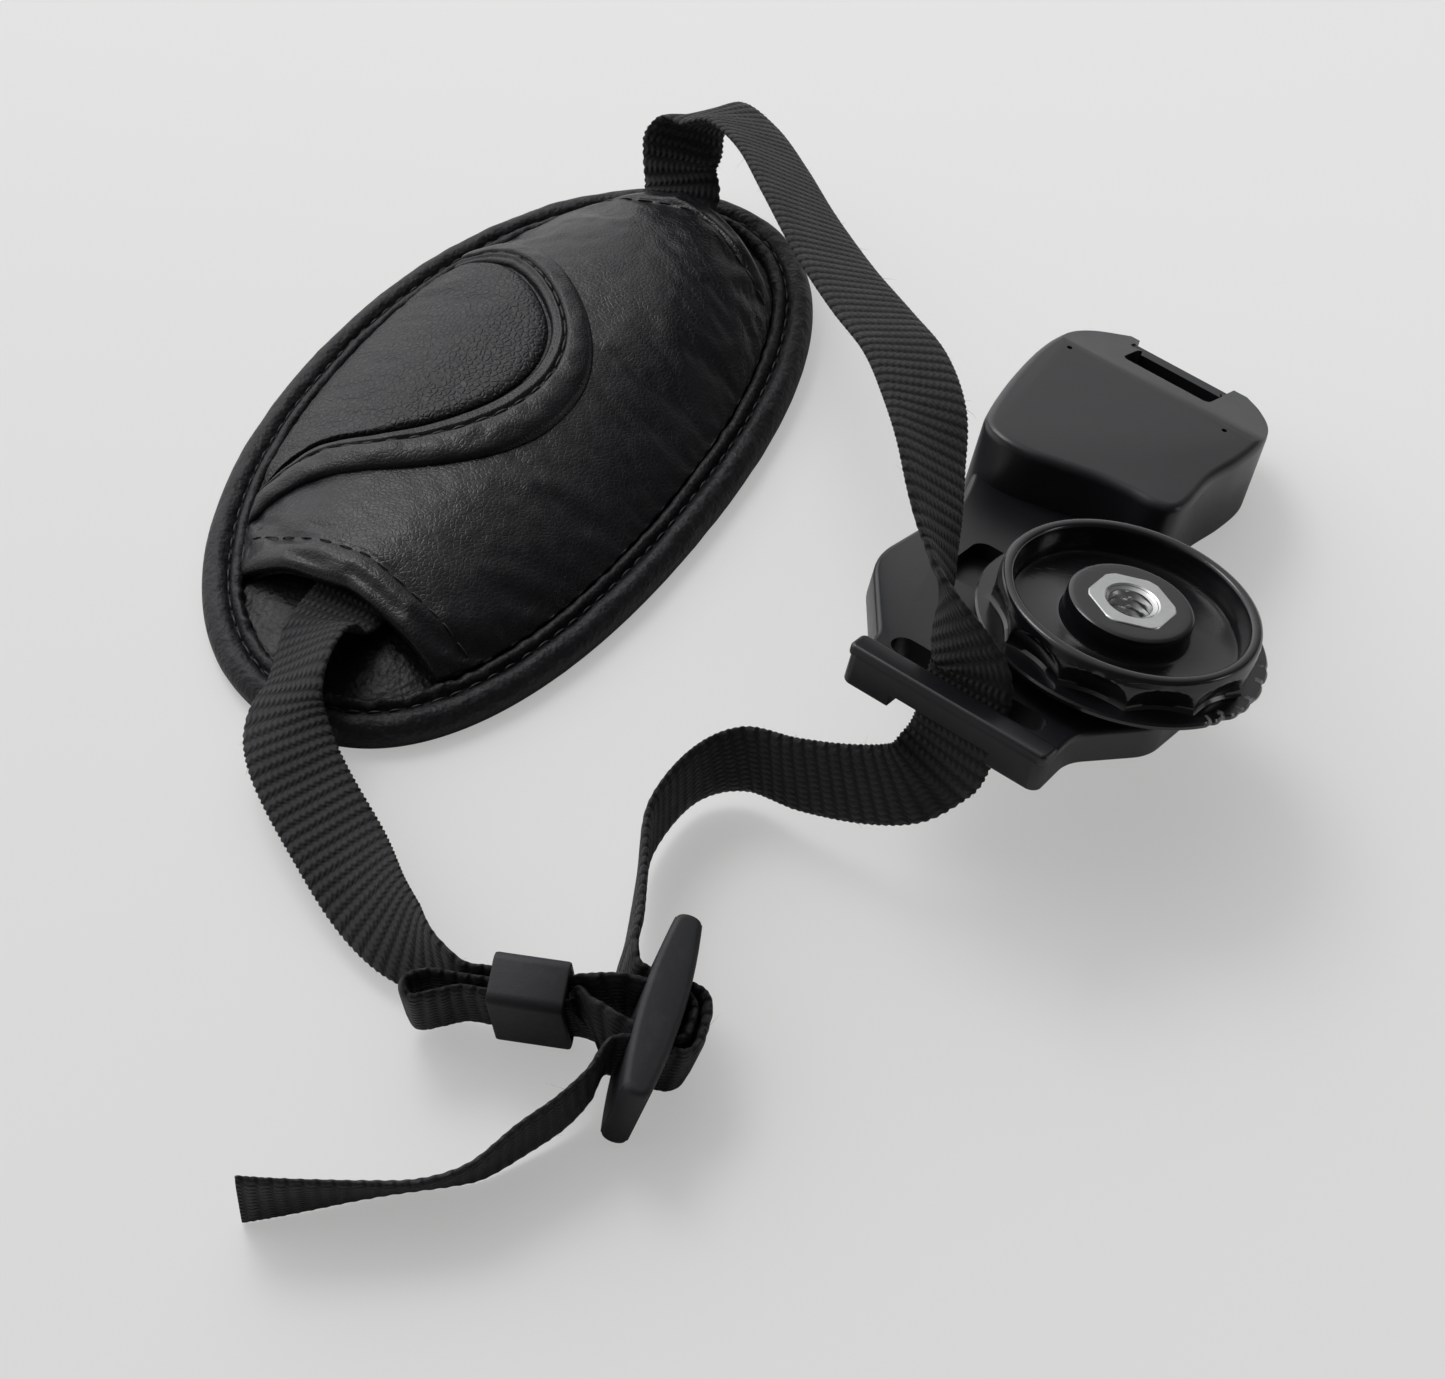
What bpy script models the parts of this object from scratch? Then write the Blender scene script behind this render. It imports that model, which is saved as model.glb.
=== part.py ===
"""Camera hand grip strap: a padded hand grip on webbing, with a moulded base plate that screws under a camera.

The padded grip and the base plate lie on a table, and the webbing runs from the keeper through the grip,
down through the plate's slot, round the slider's middle bar and out to its free end.
"""
import math

import bmesh
import bpy
import numpy as np
from mathutils import Matrix, Vector

MM = 0.001
GAP = 0.3

# Place of each group on the table, in millimetres and degrees, and the point that becomes the origin.
ORIGIN = (1.9, 27.2, 0.0)
PAD_PLACE = (-31.0, 42.0, 0.0)
PAD_TURN = 59.0
KEEPER_PLACE = (-24.6, -59.9, 8.5)
KEEPER_TRAVEL = (0.985, -0.174, 0.0)
KEEPER_UP = (-0.045, -0.252, 0.967)
SLIDER_PLACE = (-9.8, -64.4, 9.0)
SLIDER_LONG = (0.255, 0.962, 0.102)
SLIDER_UP = (0.22, -0.16, 0.962)
PLATE_PLACE = (48.7, -16.2, 18.6)
PLATE_LONG = (0.550, 0.779, -0.302)
PLATE_UP = (0.220, 0.214, 0.952)

# Padded grip.
PAD_HALF_LENGTH = 59.5
PAD_HALF_WIDTH = 33.6
PAD_POWER = 2.15
PAD_SWAY = 1.5
PAD_BEND = 3.4
BINDING_WIDTH = 3.4
BINDING_WALL = 0.9
LINING_THICK = 1.0
PANEL_THICK = 1.0
PANEL_CROWN = 3.5
PANEL_FLAT_SHARE = 0.9
FOAM_INSET = 12.0
LEAF_POINTS = 60
COVER_THICK = 1.2
COVER_LINING_THICK = 0.8
COVER_CROWN = 12.4
COVER_END_CROWN = 12.0
COVER_ROUND = 2.6
COVER_LOW_SETBACK = 18.5
COVER_HIGH_SETBACK = 9.5
COVER_END_SAG = 3.0
HEM_LOW_WIDTH = 5.2
HEM_HIGH_WIDTH = 2.2
HEM_THICK = 0.7
APPLIQUE_THICK = 1.0
APPLIQUE_BAND_THICK = 1.5
APPLIQUE_SEAM = 1.6
APPLIQUE_CLEARANCE = 0.5
APPLIQUE_CORNER = 1.5
# Points of the trim's two curves, as shares of the grip's half length and half width.
APPLIQUE_OUTER = [(-0.5798319, 0.6547619), (-0.4537815, 0.4613095), (-0.3529412, 0.1636905),
                  (-0.2352941, -0.0892857), (-0.0924370, -0.2380952), (0.0588235, -0.2678571),
                  (0.1932773, -0.1934524), (0.3277311, 0.0000000), (0.4252101, 0.2559524),
                  (0.4705882, 0.5208333), (0.4537815, 0.7321429)]
APPLIQUE_INNER = [(-0.4705882, 0.6994048), (-0.3529412, 0.5654762), (-0.2773109, 0.3273810),
                  (-0.1764706, 0.1488095), (-0.0504202, 0.0148810), (0.0756303, -0.0297619),
                  (0.2016807, 0.0297619), (0.2941176, 0.1785714), (0.3647059, 0.3869048),
                  (0.3865546, 0.5654762), (0.3697479, 0.7440476)]

# Webbing.
WEB_WIDTH = 12.0
WEB_THICK = 1.25

# Keeper, a short rectangular tube that holds three layers of webbing.
KEEPER_LENGTH = 9.7
KEEPER_WALL = 1.1
KEEPER_LAYERS = 3
KEEPER_RADIUS = 1.5

# Slider, a bowed bar with two slots.
SLIDER_LENGTH = 28.0
SLIDER_HEIGHT = 15.2
SLIDER_MIDDLE = 5.6
SLIDER_END = 3.4
SLIDER_BAR = 4.4
SLIDER_SLOT = 3.6
SLIDER_EDGE = 0.7

# Base plate.
PLATE_THICK = 5.0
BLOCK_THICK = 12.6
PLATE_EDGE = 0.7
BLOCK_EDGE = 1.0
STRAP_SLOT_WIDTH = 3.9
STRAP_SLOT_LENGTH = 23.0
STRAP_SLOT_PLACE = (-9.6, -22.0)
SCREW_BORE = 3.6
RETAINER_POCKET_RADIUS = 6.4
RETAINER_POCKET_DEPTH = 3.3
END_SLOT_WIDTH = 5.6
END_SLOT_LENGTH = 14.4
END_SLOT_PLACE = (-22.9, 57.6)
END_SLOPE_START = 53.0
END_SLOPE_DROP = 2.6
RUBBER_THICK = 1.3
RUBBER_PROUD = 0.4

# Thumb wheel and its captive screw.
FLANGE_RADIUS = 19.6
FLANGE_THICK = 1.0
WHEEL_SEAT = 2.7
WHEEL_HEIGHT = 6.1
WALL_RADIUS = 17.7
RIM_INNER_RADIUS = 15.8
CUP_FLOOR = 1.8
BOSS_RADIUS = 8.5
BOSS_DROP = 0.6
HUB_RADIUS = 9.0
FLUTES = 12
WHEEL_STEPS = 6
FLUTE_DEPTH = 1.5
FLUTE_TOP = 4.9
HEX_ACROSS_FLATS = 10.8
HEX_HEIGHT = 5.4
THREAD_HOLE_RADIUS = 2.75
THREAD_HOLE_DEPTH = 5.0
SCREW_RADIUS = 3.15
SCREW_NECK_RADIUS = 2.5
SCREW_REACH = 5.5
SCREW_POINTS = 36
RETAINER_RADIUS = 5.6
RETAINER_THICK = 0.8

# The webbing's route in millimetres: centre line, then the direction across its width.
ROUTE = [
    (-21.6, -60.5, 8.5, -0.04, -0.25, 0.97),
    (-29.5, -59.1, 8.5, -0.04, -0.25, 0.97),
    (-33.4, -58.4, 8.5, -0.04, -0.25, 0.97),
    (-36.6, -57.8, 8.6, -0.04, -0.25, 0.97),
    (-39.3, -58.2, 8.5, -0.04, -0.25, 0.97),
    (-40.4, -59.6, 8.2, -0.04, -0.25, 0.97),
    (-39.3, -61.0, 7.8, -0.04, -0.25, 0.97),
    (-36.4, -60.5, 7.9, -0.04, -0.25, 0.97),
    (-33.3, -59.9, 8.1, -0.04, -0.25, 0.97),
    (-29.8, -60.5, 8.1, -0.04, -0.25, 0.97),
    (-18.9, -62.4, 8.1, -0.04, -0.25, 0.97),
    (-16.4, -64.5, 9.2, 0.15, -0.19, 0.97),
    (-13.8, -66.5, 9.5, 0.22, -0.16, 0.96),
    (-10.6, -67.5, 8.7, 0.22, -0.16, 0.96),
    (-8.2, -68.0, 8.0, 0.22, -0.16, 0.96),
    (-6.7, -67.3, 7.8, 0.22, -0.16, 0.96),
    (-5.9, -65.3, 8.0, 0.22, -0.16, 0.96),
    (-5.6, -63.2, 8.2, 0.22, -0.16, 0.96),
    (-6.5, -61.9, 8.7, 0.22, -0.16, 0.96),
    (-9.0, -61.3, 9.3, 0.22, -0.16, 0.96),
    (-12.8, -60.6, 10.2, 0.22, -0.16, 0.96),
    (-16.0, -60.0, 9.8, 0.10, -0.20, 0.97),
    (-19.4, -59.3, 8.9, -0.04, -0.25, 0.97),
    (-29.3, -57.6, 8.8, -0.04, -0.25, 0.97),
    (-32.6, -57.0, 8.8, -0.04, -0.25, 0.97),
    (-35.4, -55.3, 8.8, 0.12, -0.20, 0.97),
    (-40.6, -51.0, 8.0, 0.50, 0.05, 0.86),
    (-45.4, -44.7, 7.3, 0.70, 0.20, 0.68),
    (-50.6, -34.7, 7.0, 0.89, 0.34, 0.30),
    (-55.5, -25.5, 7.5, 0.95, 0.25, 0.20),
    (-58.2, -19.2, 8.2, 0.98, 0.00, 0.20),
    (-59.3, -13.5, 8.8, 0.90, -0.10, 0.42),
    (-57.9, -7.0, 10.0, 0.70, -0.30, 0.62),
    (-56.0, 0.5, 9.2, 0.76, -0.40, 0.50),
    (-53.4, 5.2, 7.4, 0.85, -0.52, 0.06),
    (-47.5, 15.0, 7.2, 0.857, -0.515, 0.0),
    (-31.2, 42.3, 8.0, 0.857, -0.515, 0.0),
    (-14.5, 70.5, 7.2, 0.857, -0.515, 0.0),
    (-10.6, 80.0, 6.9, 0.88, -0.47, 0.0),
    (-8.6, 85.6, 6.9, 0.88, -0.47, 0.0),
    (-7.2, 89.2, 8.3, 0.88, -0.45, 0.0),
    (-7.4, 92.2, 12.0, 0.90, -0.36, 0.10),
    (-6.0, 94.4, 16.5, 0.82, 0.20, -0.50),
    (-2.9, 93.2, 20.5, 0.78, 0.58, -0.18),
    (1.9, 86.7, 24.0, 0.88, 0.27, -0.39),
    (6.2, 74.9, 28.0, 0.86, 0.09, -0.50),
    (9.9, 59.4, 33.0, 0.87, 0.07, -0.48),
    (14.4, 42.5, 38.0, 0.91, 0.15, -0.39),
    (19.0, 28.7, 42.0, 0.92, 0.24, -0.31),
    (22.9, 18.5, 44.5, 0.93, 0.23, -0.30),
    (25.0, 8.7, 45.5, 0.92, 0.12, -0.37),
    (25.6, -0.7, 45.0, 0.75, 0.11, -0.65),
    (25.9, -8.5, 43.5, 0.59, 0.23, -0.77),
    (26.3, -13.8, 41.6, 0.40, 0.38, -0.84),
    (26.6, -17.4, 40.4, 0.21, 0.50, -0.84),
    (27.2, -20.6, 38.7, -0.18, 0.64, -0.74),
    (28.2, -23.1, 36.8, -0.52, 0.67, -0.52),
    (29.4, -25.1, 34.7, -0.73, 0.60, -0.33),
    (30.3, -26.4, 32.6, -0.81, 0.585, -0.08),
    (30.2, -26.9, 30.5, -0.806, 0.589, 0.054),
    (29.1, -28.0, 25.8, -0.806, 0.589, 0.054),
    (28.2, -28.9, 21.5, -0.75, 0.60, 0.20),
    (26.6, -29.4, 18.0, -0.45, 0.50, 0.70),
    (22.9, -30.2, 15.0, -0.05, 0.33, 0.93),
    (16.8, -28.4, 12.3, 0.00, 0.28, 0.96),
    (9.1, -25.0, 10.0, 0.00, 0.20, 0.98),
    (1.9, -21.3, 8.6, 0.00, 0.08, 1.0),
    (-4.9, -23.5, 7.8, 0.00, -0.04, 1.0),
    (-10.2, -31.8, 7.8, 0.02, -0.04, 1.0),
    (-11.4, -40.9, 8.3, 0.10, -0.04, 1.0),
    (-12.2, -50.0, 9.8, 0.17, -0.10, 0.98),
    (-12.9, -54.5, 10.6, 0.20, -0.14, 0.97),
    (-12.9, -56.8, 10.8, 0.22, -0.16, 0.96),
    (-12.5, -58.4, 10.6, 0.22, -0.16, 0.96),
    (-11.2, -59.2, 10.2, 0.22, -0.16, 0.96),
    (-8.6, -59.8, 9.5, 0.22, -0.16, 0.96),
    (-6.0, -60.5, 8.8, 0.22, -0.16, 0.96),
    (-4.3, -61.4, 8.2, 0.22, -0.16, 0.96),
    (-3.8, -63.2, 7.8, 0.22, -0.16, 0.96),
    (-4.3, -65.7, 7.5, 0.22, -0.16, 0.96),
    (-5.1, -68.2, 7.3, 0.22, -0.16, 0.96),
    (-6.4, -69.5, 7.4, 0.22, -0.16, 0.96),
    (-8.4, -69.5, 7.8, 0.22, -0.16, 0.96),
    (-11.0, -69.0, 8.5, 0.22, -0.16, 0.96),
    (-13.5, -68.5, 9.1, 0.22, -0.16, 0.96),
    (-15.3, -68.9, 9.2, 0.18, -0.18, 0.96),
    (-16.4, -70.3, 8.8, 0.12, -0.21, 0.96),
    (-17.6, -72.5, 8.2, 0.06, -0.24, 0.96),
    (-20.9, -75.8, 7.3, 0.00, -0.26, 0.96),
    (-25.6, -79.2, 6.6, 0.00, -0.28, 0.96),
    (-30.4, -82.8, 6.0, 0.00, -0.40, 0.92),
    (-34.0, -84.2, 5.7, 0.00, -0.48, 0.88),
    (-38.4, -85.0, 5.5, 0.00, -0.51, 0.86),
    (-43.7, -85.7, 5.7, 0.00, -0.44, 0.90),
    (-50.5, -86.6, 6.0, 0.00, -0.30, 0.95),
    (-55.4, -87.1, 6.1, 0.00, -0.19, 0.98),
    (-59.3, -87.4, 6.2, 0.00, -0.10, 0.99),
]
ROUTE_STEPS = 2


def clear_scene():
    for obj in list(bpy.data.objects):
        bpy.data.objects.remove(obj, do_unlink=True)


def material(name, colour, roughness, metallic=0.0):
    look = bpy.data.materials.new(name)
    look.use_nodes = True
    shader = look.node_tree.nodes["Principled BSDF"]
    shader.inputs["Base Color"].default_value = (*colour, 1.0)
    shader.inputs["Roughness"].default_value = roughness
    shader.inputs["Metallic"].default_value = metallic
    return look


def frame(place, x_axis, y_axis, z_axis):
    """A placement matrix from an origin and three axes, in millimetres."""
    x, y, z = (Vector(axis).normalized() for axis in (x_axis, y_axis, z_axis))
    matrix = Matrix((x, y, z)).transposed().to_4x4()
    matrix.translation = (Vector(place) - Vector(ORIGIN)) * MM
    return matrix


def carrier(name, place, along_y, up):
    """An empty that holds one group, squared up on its upward axis."""
    up = Vector(up).normalized()
    along_y = Vector(along_y)
    along_y = (along_y - up * along_y.dot(up)).normalized()
    empty = bpy.data.objects.new(name, None)
    bpy.context.collection.objects.link(empty)
    empty.matrix_world = frame(place, along_y.cross(up), along_y, up)
    return empty


def add_object(name, points, faces, look, parent=None, sharp=35.0):
    """One closed solid from points in millimetres."""
    mesh = bpy.data.meshes.new(name)
    mesh.from_pydata([tuple(float(c) * MM for c in p) for p in points], [], faces)
    shell = bmesh.new()
    shell.from_mesh(mesh)
    bmesh.ops.recalc_face_normals(shell, faces=shell.faces)
    shell.to_mesh(mesh)
    shell.free()
    mesh.shade_smooth()
    mesh.set_sharp_from_angle(angle=math.radians(sharp))
    mesh.materials.append(look if isinstance(look, bpy.types.Material) else material(name, *look))
    obj = bpy.data.objects.new(name, mesh)
    bpy.context.collection.objects.link(obj)
    obj.parent = parent
    return obj


def cut(obj, points, faces, operation="DIFFERENCE"):
    """Cut a helper solid out of an object, or join it on, in the object's own frame."""
    cutter = add_object(obj.name + "_cutter", points, faces, obj.data.materials[0], obj.parent)
    cutter.hide_render = True
    cutter.display_type = "WIRE"
    modifier = obj.modifiers.new("cut", "BOOLEAN")
    modifier.operation = operation
    modifier.solver = "EXACT"
    modifier.object = cutter


def loft(rings, closed=False):
    """Faces and points of a skin over equal rings, capped at both ends unless the rings close on themselves."""
    count = len(rings[0])
    points = [p for ring in rings for p in ring]
    faces = []
    last = len(rings) if closed else len(rings) - 1
    for i in range(last):
        a, b = i * count, ((i + 1) % len(rings)) * count
        for k in range(count):
            n = (k + 1) % count
            faces.append((a + k, a + n, b + n, b + k))
    if not closed:
        faces.append(tuple(range(count))[::-1])
        faces.append(tuple(range((len(rings) - 1) * count, len(rings) * count)))
    return points, faces


def slab(top, bottom):
    """A closed sheet between two grids of points with the same rows and columns."""
    rows, cols = len(top), len(top[0])
    points = [p for grid in (top, bottom) for row in grid for p in row]
    size = rows * cols
    faces = []
    for i in range(rows - 1):
        for j in range(cols - 1):
            a = i * cols + j
            quad = (a, a + 1, a + cols + 1, a + cols)
            faces.append(quad)
            faces.append(tuple(size + q for q in reversed(quad)))
    edge = [j for j in range(cols)]
    edge += [i * cols + cols - 1 for i in range(1, rows)]
    edge += [(rows - 1) * cols + j for j in range(cols - 2, -1, -1)]
    edge += [i * cols for i in range(rows - 2, 0, -1)]
    for a, b in zip(edge, edge[1:] + edge[:1]):
        faces.append((b, a, size + a, size + b))
    return points, faces


def inset(outline, distance):
    """A closed outline moved inwards by a distance, with mitred corners; outlines run anticlockwise."""
    shape = np.asarray(outline, float)
    ahead = np.roll(shape, -1, axis=0) - shape
    ahead /= np.linalg.norm(ahead, axis=1)[:, None]
    inward = np.stack([-ahead[:, 1], ahead[:, 0]], axis=1)
    before = np.roll(inward, 1, axis=0)
    share = 1.0 + np.sum(inward * before, axis=1)
    return (shape + distance * (inward + before) / share[:, None]).tolist()


def rounded(corners, step=18.0):
    """An outline through corners given as (x, y, radius), each rounded by an arc."""
    outline = []
    count = len(corners)
    for i, (x, y, radius) in enumerate(corners):
        here = Vector((x, y))
        before = (Vector(corners[i - 1][:2]) - here).normalized()
        after = (Vector(corners[(i + 1) % count][:2]) - here).normalized()
        angle = before.angle(after)
        reach = radius / math.tan(angle / 2)
        start, end = here + before * reach, here + after * reach
        centre = here + (before + after).normalized() * (radius / math.sin(angle / 2))
        sweep = math.pi - angle
        parts = max(1, round(math.degrees(sweep) / step))
        first = start - centre
        turn = 1.0 if before.cross(after) < 0 else -1.0
        for k in range(parts + 1):
            arm = first.copy()
            arm.rotate(Matrix.Rotation(turn * sweep * k / parts, 2))
            outline.append(tuple(centre + arm))
        if (end - Vector(outline[-1])).length > 0.01:
            raise ValueError("a corner's arc misses its end")
    return outline


def prism(outline, low, high, edge_low, edge_high, parts=3):
    """An upright solid on an outline whose bottom and top edges are rounded."""
    rings = []
    for k in range(parts + 1):
        angle = math.pi / 2 * k / parts
        ring = inset(outline, edge_low * (1 - math.sin(angle))) if edge_low else outline
        rings.append([(x, y, low + edge_low * (1 - math.cos(angle))) for x, y in ring])
        if not edge_low:
            break
    for k in range(parts + 1):
        angle = math.pi / 2 * k / parts
        ring = inset(outline, edge_high * (1 - math.cos(angle))) if edge_high else outline
        rings.append([(x, y, high - edge_high * (1 - math.sin(angle))) for x, y in ring])
        if not edge_high:
            break
    return loft(rings)


def circle(radius, count, x=0.0, y=0.0):
    return [(x + radius * math.cos(2 * math.pi * k / count), y + radius * math.sin(2 * math.pi * k / count))
            for k in range(count)]


def smooth_curve(points, steps):
    """A Catmull-Rom curve through rows of numbers, with a number of steps to each span."""
    rows = [np.asarray(p, float) for p in points]
    rows = [2 * rows[0] - rows[1]] + rows + [2 * rows[-1] - rows[-2]]
    out = []
    for a, b, c, d in zip(rows, rows[1:], rows[2:], rows[3:]):
        for k in range(steps):
            t = k / steps
            out.append(0.5 * (2 * b + (c - a) * t + (2 * a - 5 * b + 4 * c - d) * t * t
                              + (3 * b - a - 3 * c + d) * t ** 3))
    out.append(rows[-2])
    return out


def leaf(inwards, count):
    """The grip's leaf outline, a superellipse on a bowed centre line, moved inwards by a distance."""
    half_length = PAD_HALF_LENGTH - inwards
    half_width = PAD_HALF_WIDTH - inwards
    outline = []
    for k in range(count):
        angle = 2 * math.pi * k / count
        c, s = math.cos(angle), math.sin(angle)
        x = half_length * math.copysign(abs(c) ** (2 / PAD_POWER), c)
        outline.append((x, leaf_centre(x) + half_width * math.copysign(abs(s) ** (2 / PAD_POWER), s)))
    return outline


def leaf_centre(x):
    """Where the grip's bowed centre line lies at a place along it."""
    return PAD_SWAY - PAD_BEND * (x / PAD_HALF_LENGTH) ** 2


def leaf_half_width(x, inwards):
    """Half the grip's width at a place along it."""
    share = min(1.0, abs(x) / (PAD_HALF_LENGTH - inwards))
    return (PAD_HALF_WIDTH - inwards) * (1 - share ** PAD_POWER) ** (1 / PAD_POWER)


LINING_LOW = BINDING_WALL + GAP
PANEL_EDGE_LOW = LINING_LOW + LINING_THICK + GAP
BINDING_TOP = PANEL_EDGE_LOW + PANEL_THICK + GAP + BINDING_WALL


def panel_rise(share):
    """How far the foam lifts the panel, from its flat rim (share 1) to its middle (share 0)."""
    return PANEL_CROWN * max(0.0, 1 - (share / PANEL_FLAT_SHARE) ** 2)


def leaf_layer(inwards, shares, low, high):
    """A domed layer on the leaf outline, between two heights given for each share of the radius."""
    outline = leaf(inwards, LEAF_POINTS)
    rings = [[(x * share, y * share, low(share)) for x, y in outline] for share in shares[::-1]]
    rings += [[(x * share, y * share, high(share)) for x, y in outline] for share in shares]
    return loft(rings)


def make_pad_base(pad):
    """The grip's flat base: a lining against the hand, foam, an inner panel and the binding round them."""
    rim = BINDING_WALL + GAP
    points, faces = leaf_layer(rim, (1.0,), lambda s: LINING_LOW, lambda s: LINING_LOW + LINING_THICK)
    add_object("pad_lining", points, faces, LOOKS["lining"], pad)

    shrink = (PAD_HALF_LENGTH - FOAM_INSET) / (PAD_HALF_LENGTH - rim)
    points, faces = leaf_layer(FOAM_INSET, (1.0, 0.65, 0.25), lambda s: PANEL_EDGE_LOW,
                               lambda s: PANEL_EDGE_LOW + panel_rise(s * shrink) - 1.5 * GAP)
    add_object("pad_foam", points, faces, LOOKS["foam"], pad)

    shares = (1.0, PANEL_FLAT_SHARE, 0.72, 0.48, 0.2)
    points, faces = leaf_layer(rim, shares, lambda s: PANEL_EDGE_LOW + panel_rise(s),
                               lambda s: PANEL_EDGE_LOW + panel_rise(s) + PANEL_THICK)
    add_object("pad_panel", points, faces, LOOKS["leather"], pad)

    outline = leaf(0.0, LEAF_POINTS)
    inner_high = BINDING_TOP - BINDING_WALL
    round_out = BINDING_TOP / 2
    section = [(BINDING_WIDTH, 0.0), (round_out * 0.8, 0.0), (round_out * 0.25, round_out * 0.3),
               (0.0, round_out), (round_out * 0.25, BINDING_TOP - round_out * 0.3),
               (round_out * 0.8, BINDING_TOP), (BINDING_WIDTH, BINDING_TOP), (BINDING_WIDTH, inner_high),
               (BINDING_WALL, inner_high), (BINDING_WALL, BINDING_WALL), (BINDING_WIDTH, BINDING_WALL)]
    rings = [[(x, y, z) for x, y in inset(outline, d)] for d, z in section]
    points, faces = loft(rings, closed=True)
    add_object("pad_binding", points, faces, LOOKS["binding"], pad, 50.0)


COVER_INSET = BINDING_WIDTH + GAP
COVER_EDGE_LOW = BINDING_TOP - BINDING_WALL + 2 * GAP
COVER_LOW_END = COVER_LOW_SETBACK - PAD_HALF_LENGTH
COVER_HIGH_END = PAD_HALF_LENGTH - COVER_HIGH_SETBACK


def cover_height(x, y, below=0.0):
    """Height of the cover's outer face, less a depth below it."""
    half = leaf_half_width(x, COVER_INSET)
    across = min(1.0, abs(y - leaf_centre(x)) / half)
    along = (x - COVER_LOW_END) / (COVER_HIGH_END - COVER_LOW_END)
    bow = 4 * along * (1 - along)
    crown = COVER_END_CROWN + (COVER_CROWN - COVER_END_CROWN) * max(0.0, bow)
    edge = COVER_EDGE_LOW + COVER_THICK + COVER_LINING_THICK + GAP
    return edge + (crown - edge) * (1 - across ** COVER_ROUND) ** 0.85 - below


def cover_end(at_high, across):
    """Where the cover ends along the grip, bowed across its width."""
    if at_high:
        return COVER_HIGH_END + 1.0 - COVER_END_SAG * abs(across) ** 1.6
    return COVER_LOW_END - COVER_END_SAG * across * (0.45 if across > 0 else -1.2)


def cover_grid(start, end, below, columns=16, rows=18, trim=0.0):
    """Points of the cover at a depth below its outer face, between two shares of its length."""
    grid = []
    for i in range(rows + 1):
        along = start + (end - start) * i / rows
        row = []
        for j in range(columns + 1):
            across = math.sin(math.pi * (j / columns - 0.5))
            low, high = cover_end(False, across), cover_end(True, across)
            x = low + (high - low) * along
            half = leaf_half_width(x, COVER_INSET + trim)
            spread = leaf_half_width(x, COVER_INSET)
            height = cover_height(x, leaf_centre(x) + across * spread, below)
            row.append((x, leaf_centre(x) + across * half, height))
        grid.append(row)
    return grid


def make_cover(pad):
    """The domed sleeve over the webbing, open at both ends, with its lining and its two folded hems."""
    top = cover_grid(0, 1, 0.0)
    bottom = cover_grid(0, 1, COVER_THICK)
    points, faces = slab(top, bottom)
    cover = add_object("cover_panel", points, faces, LOOKS["leather"], pad)
    length = COVER_HIGH_END - COVER_LOW_END
    for start, end in ((0.004, HEM_LOW_WIDTH / length), (1 - HEM_HIGH_WIDTH / length, 0.996)):
        hem = slab(cover_grid(start, end, -HEM_THICK, rows=2, trim=0.4),
                   cover_grid(start, end, COVER_THICK / 2, rows=2, trim=0.4))
        cut(cover, *hem, operation="UNION")

    deep = COVER_THICK + GAP
    points, faces = slab(cover_grid(0.02, 0.98, deep, 12, 12, 1.2),
                         cover_grid(0.02, 0.98, deep + COVER_LINING_THICK, 12, 12, 1.2))
    add_object("cover_lining", points, faces, LOOKS["lining"], pad)


def applique_grid(first, second, rise, across=5, steps=2):
    """A strip on the cover between two matched curves, at a rise over its face."""
    first, second = smooth_curve(first, steps), smooth_curve(second, steps)
    grid = []
    for a, b in zip(first, second):
        row = []
        for k in range(across + 1):
            x, y = a + (b - a) * k / across
            row.append((x, y, cover_height(x, y) + rise(k / across)))
        grid.append(row)
    return grid


def make_applique(pad):
    """The D-shaped trim sewn to the cover: an inner panel and a raised band round it."""
    low = GAP
    outer_curve = [(x * PAD_HALF_LENGTH, y * PAD_HALF_WIDTH) for x, y in APPLIQUE_OUTER]
    inner_curve = [(x * PAD_HALF_LENGTH, y * PAD_HALF_WIDTH) for x, y in APPLIQUE_INNER]

    def crowned(share):
        return low + APPLIQUE_BAND_THICK * (0.55 + 0.45 * math.sin(math.pi * share))

    points, faces = slab(applique_grid(inner_curve, outer_curve, crowned),
                         applique_grid(inner_curve, outer_curve, lambda k: low))
    add_object("applique_band", points, faces, LOOKS["leather"], pad)

    seam = []
    inner = []
    first, last = inner_curve[0][0] + APPLIQUE_CORNER, inner_curve[-1][0] - APPLIQUE_CORNER
    for k, (x, y) in enumerate(inner_curve):
        along = first + (last - first) * k / (len(inner_curve) - 1)
        seam.append((along, leaf_centre(along) + leaf_half_width(along, COVER_INSET + APPLIQUE_SEAM)))
        inner.append((x * 0.985, y + APPLIQUE_CLEARANCE))
    points, faces = slab(applique_grid(seam, inner, lambda k: low + APPLIQUE_THICK, 8),
                         applique_grid(seam, inner, lambda k: low, 8))
    add_object("applique_panel", points, faces, LOOKS["leather"], pad)


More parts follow.
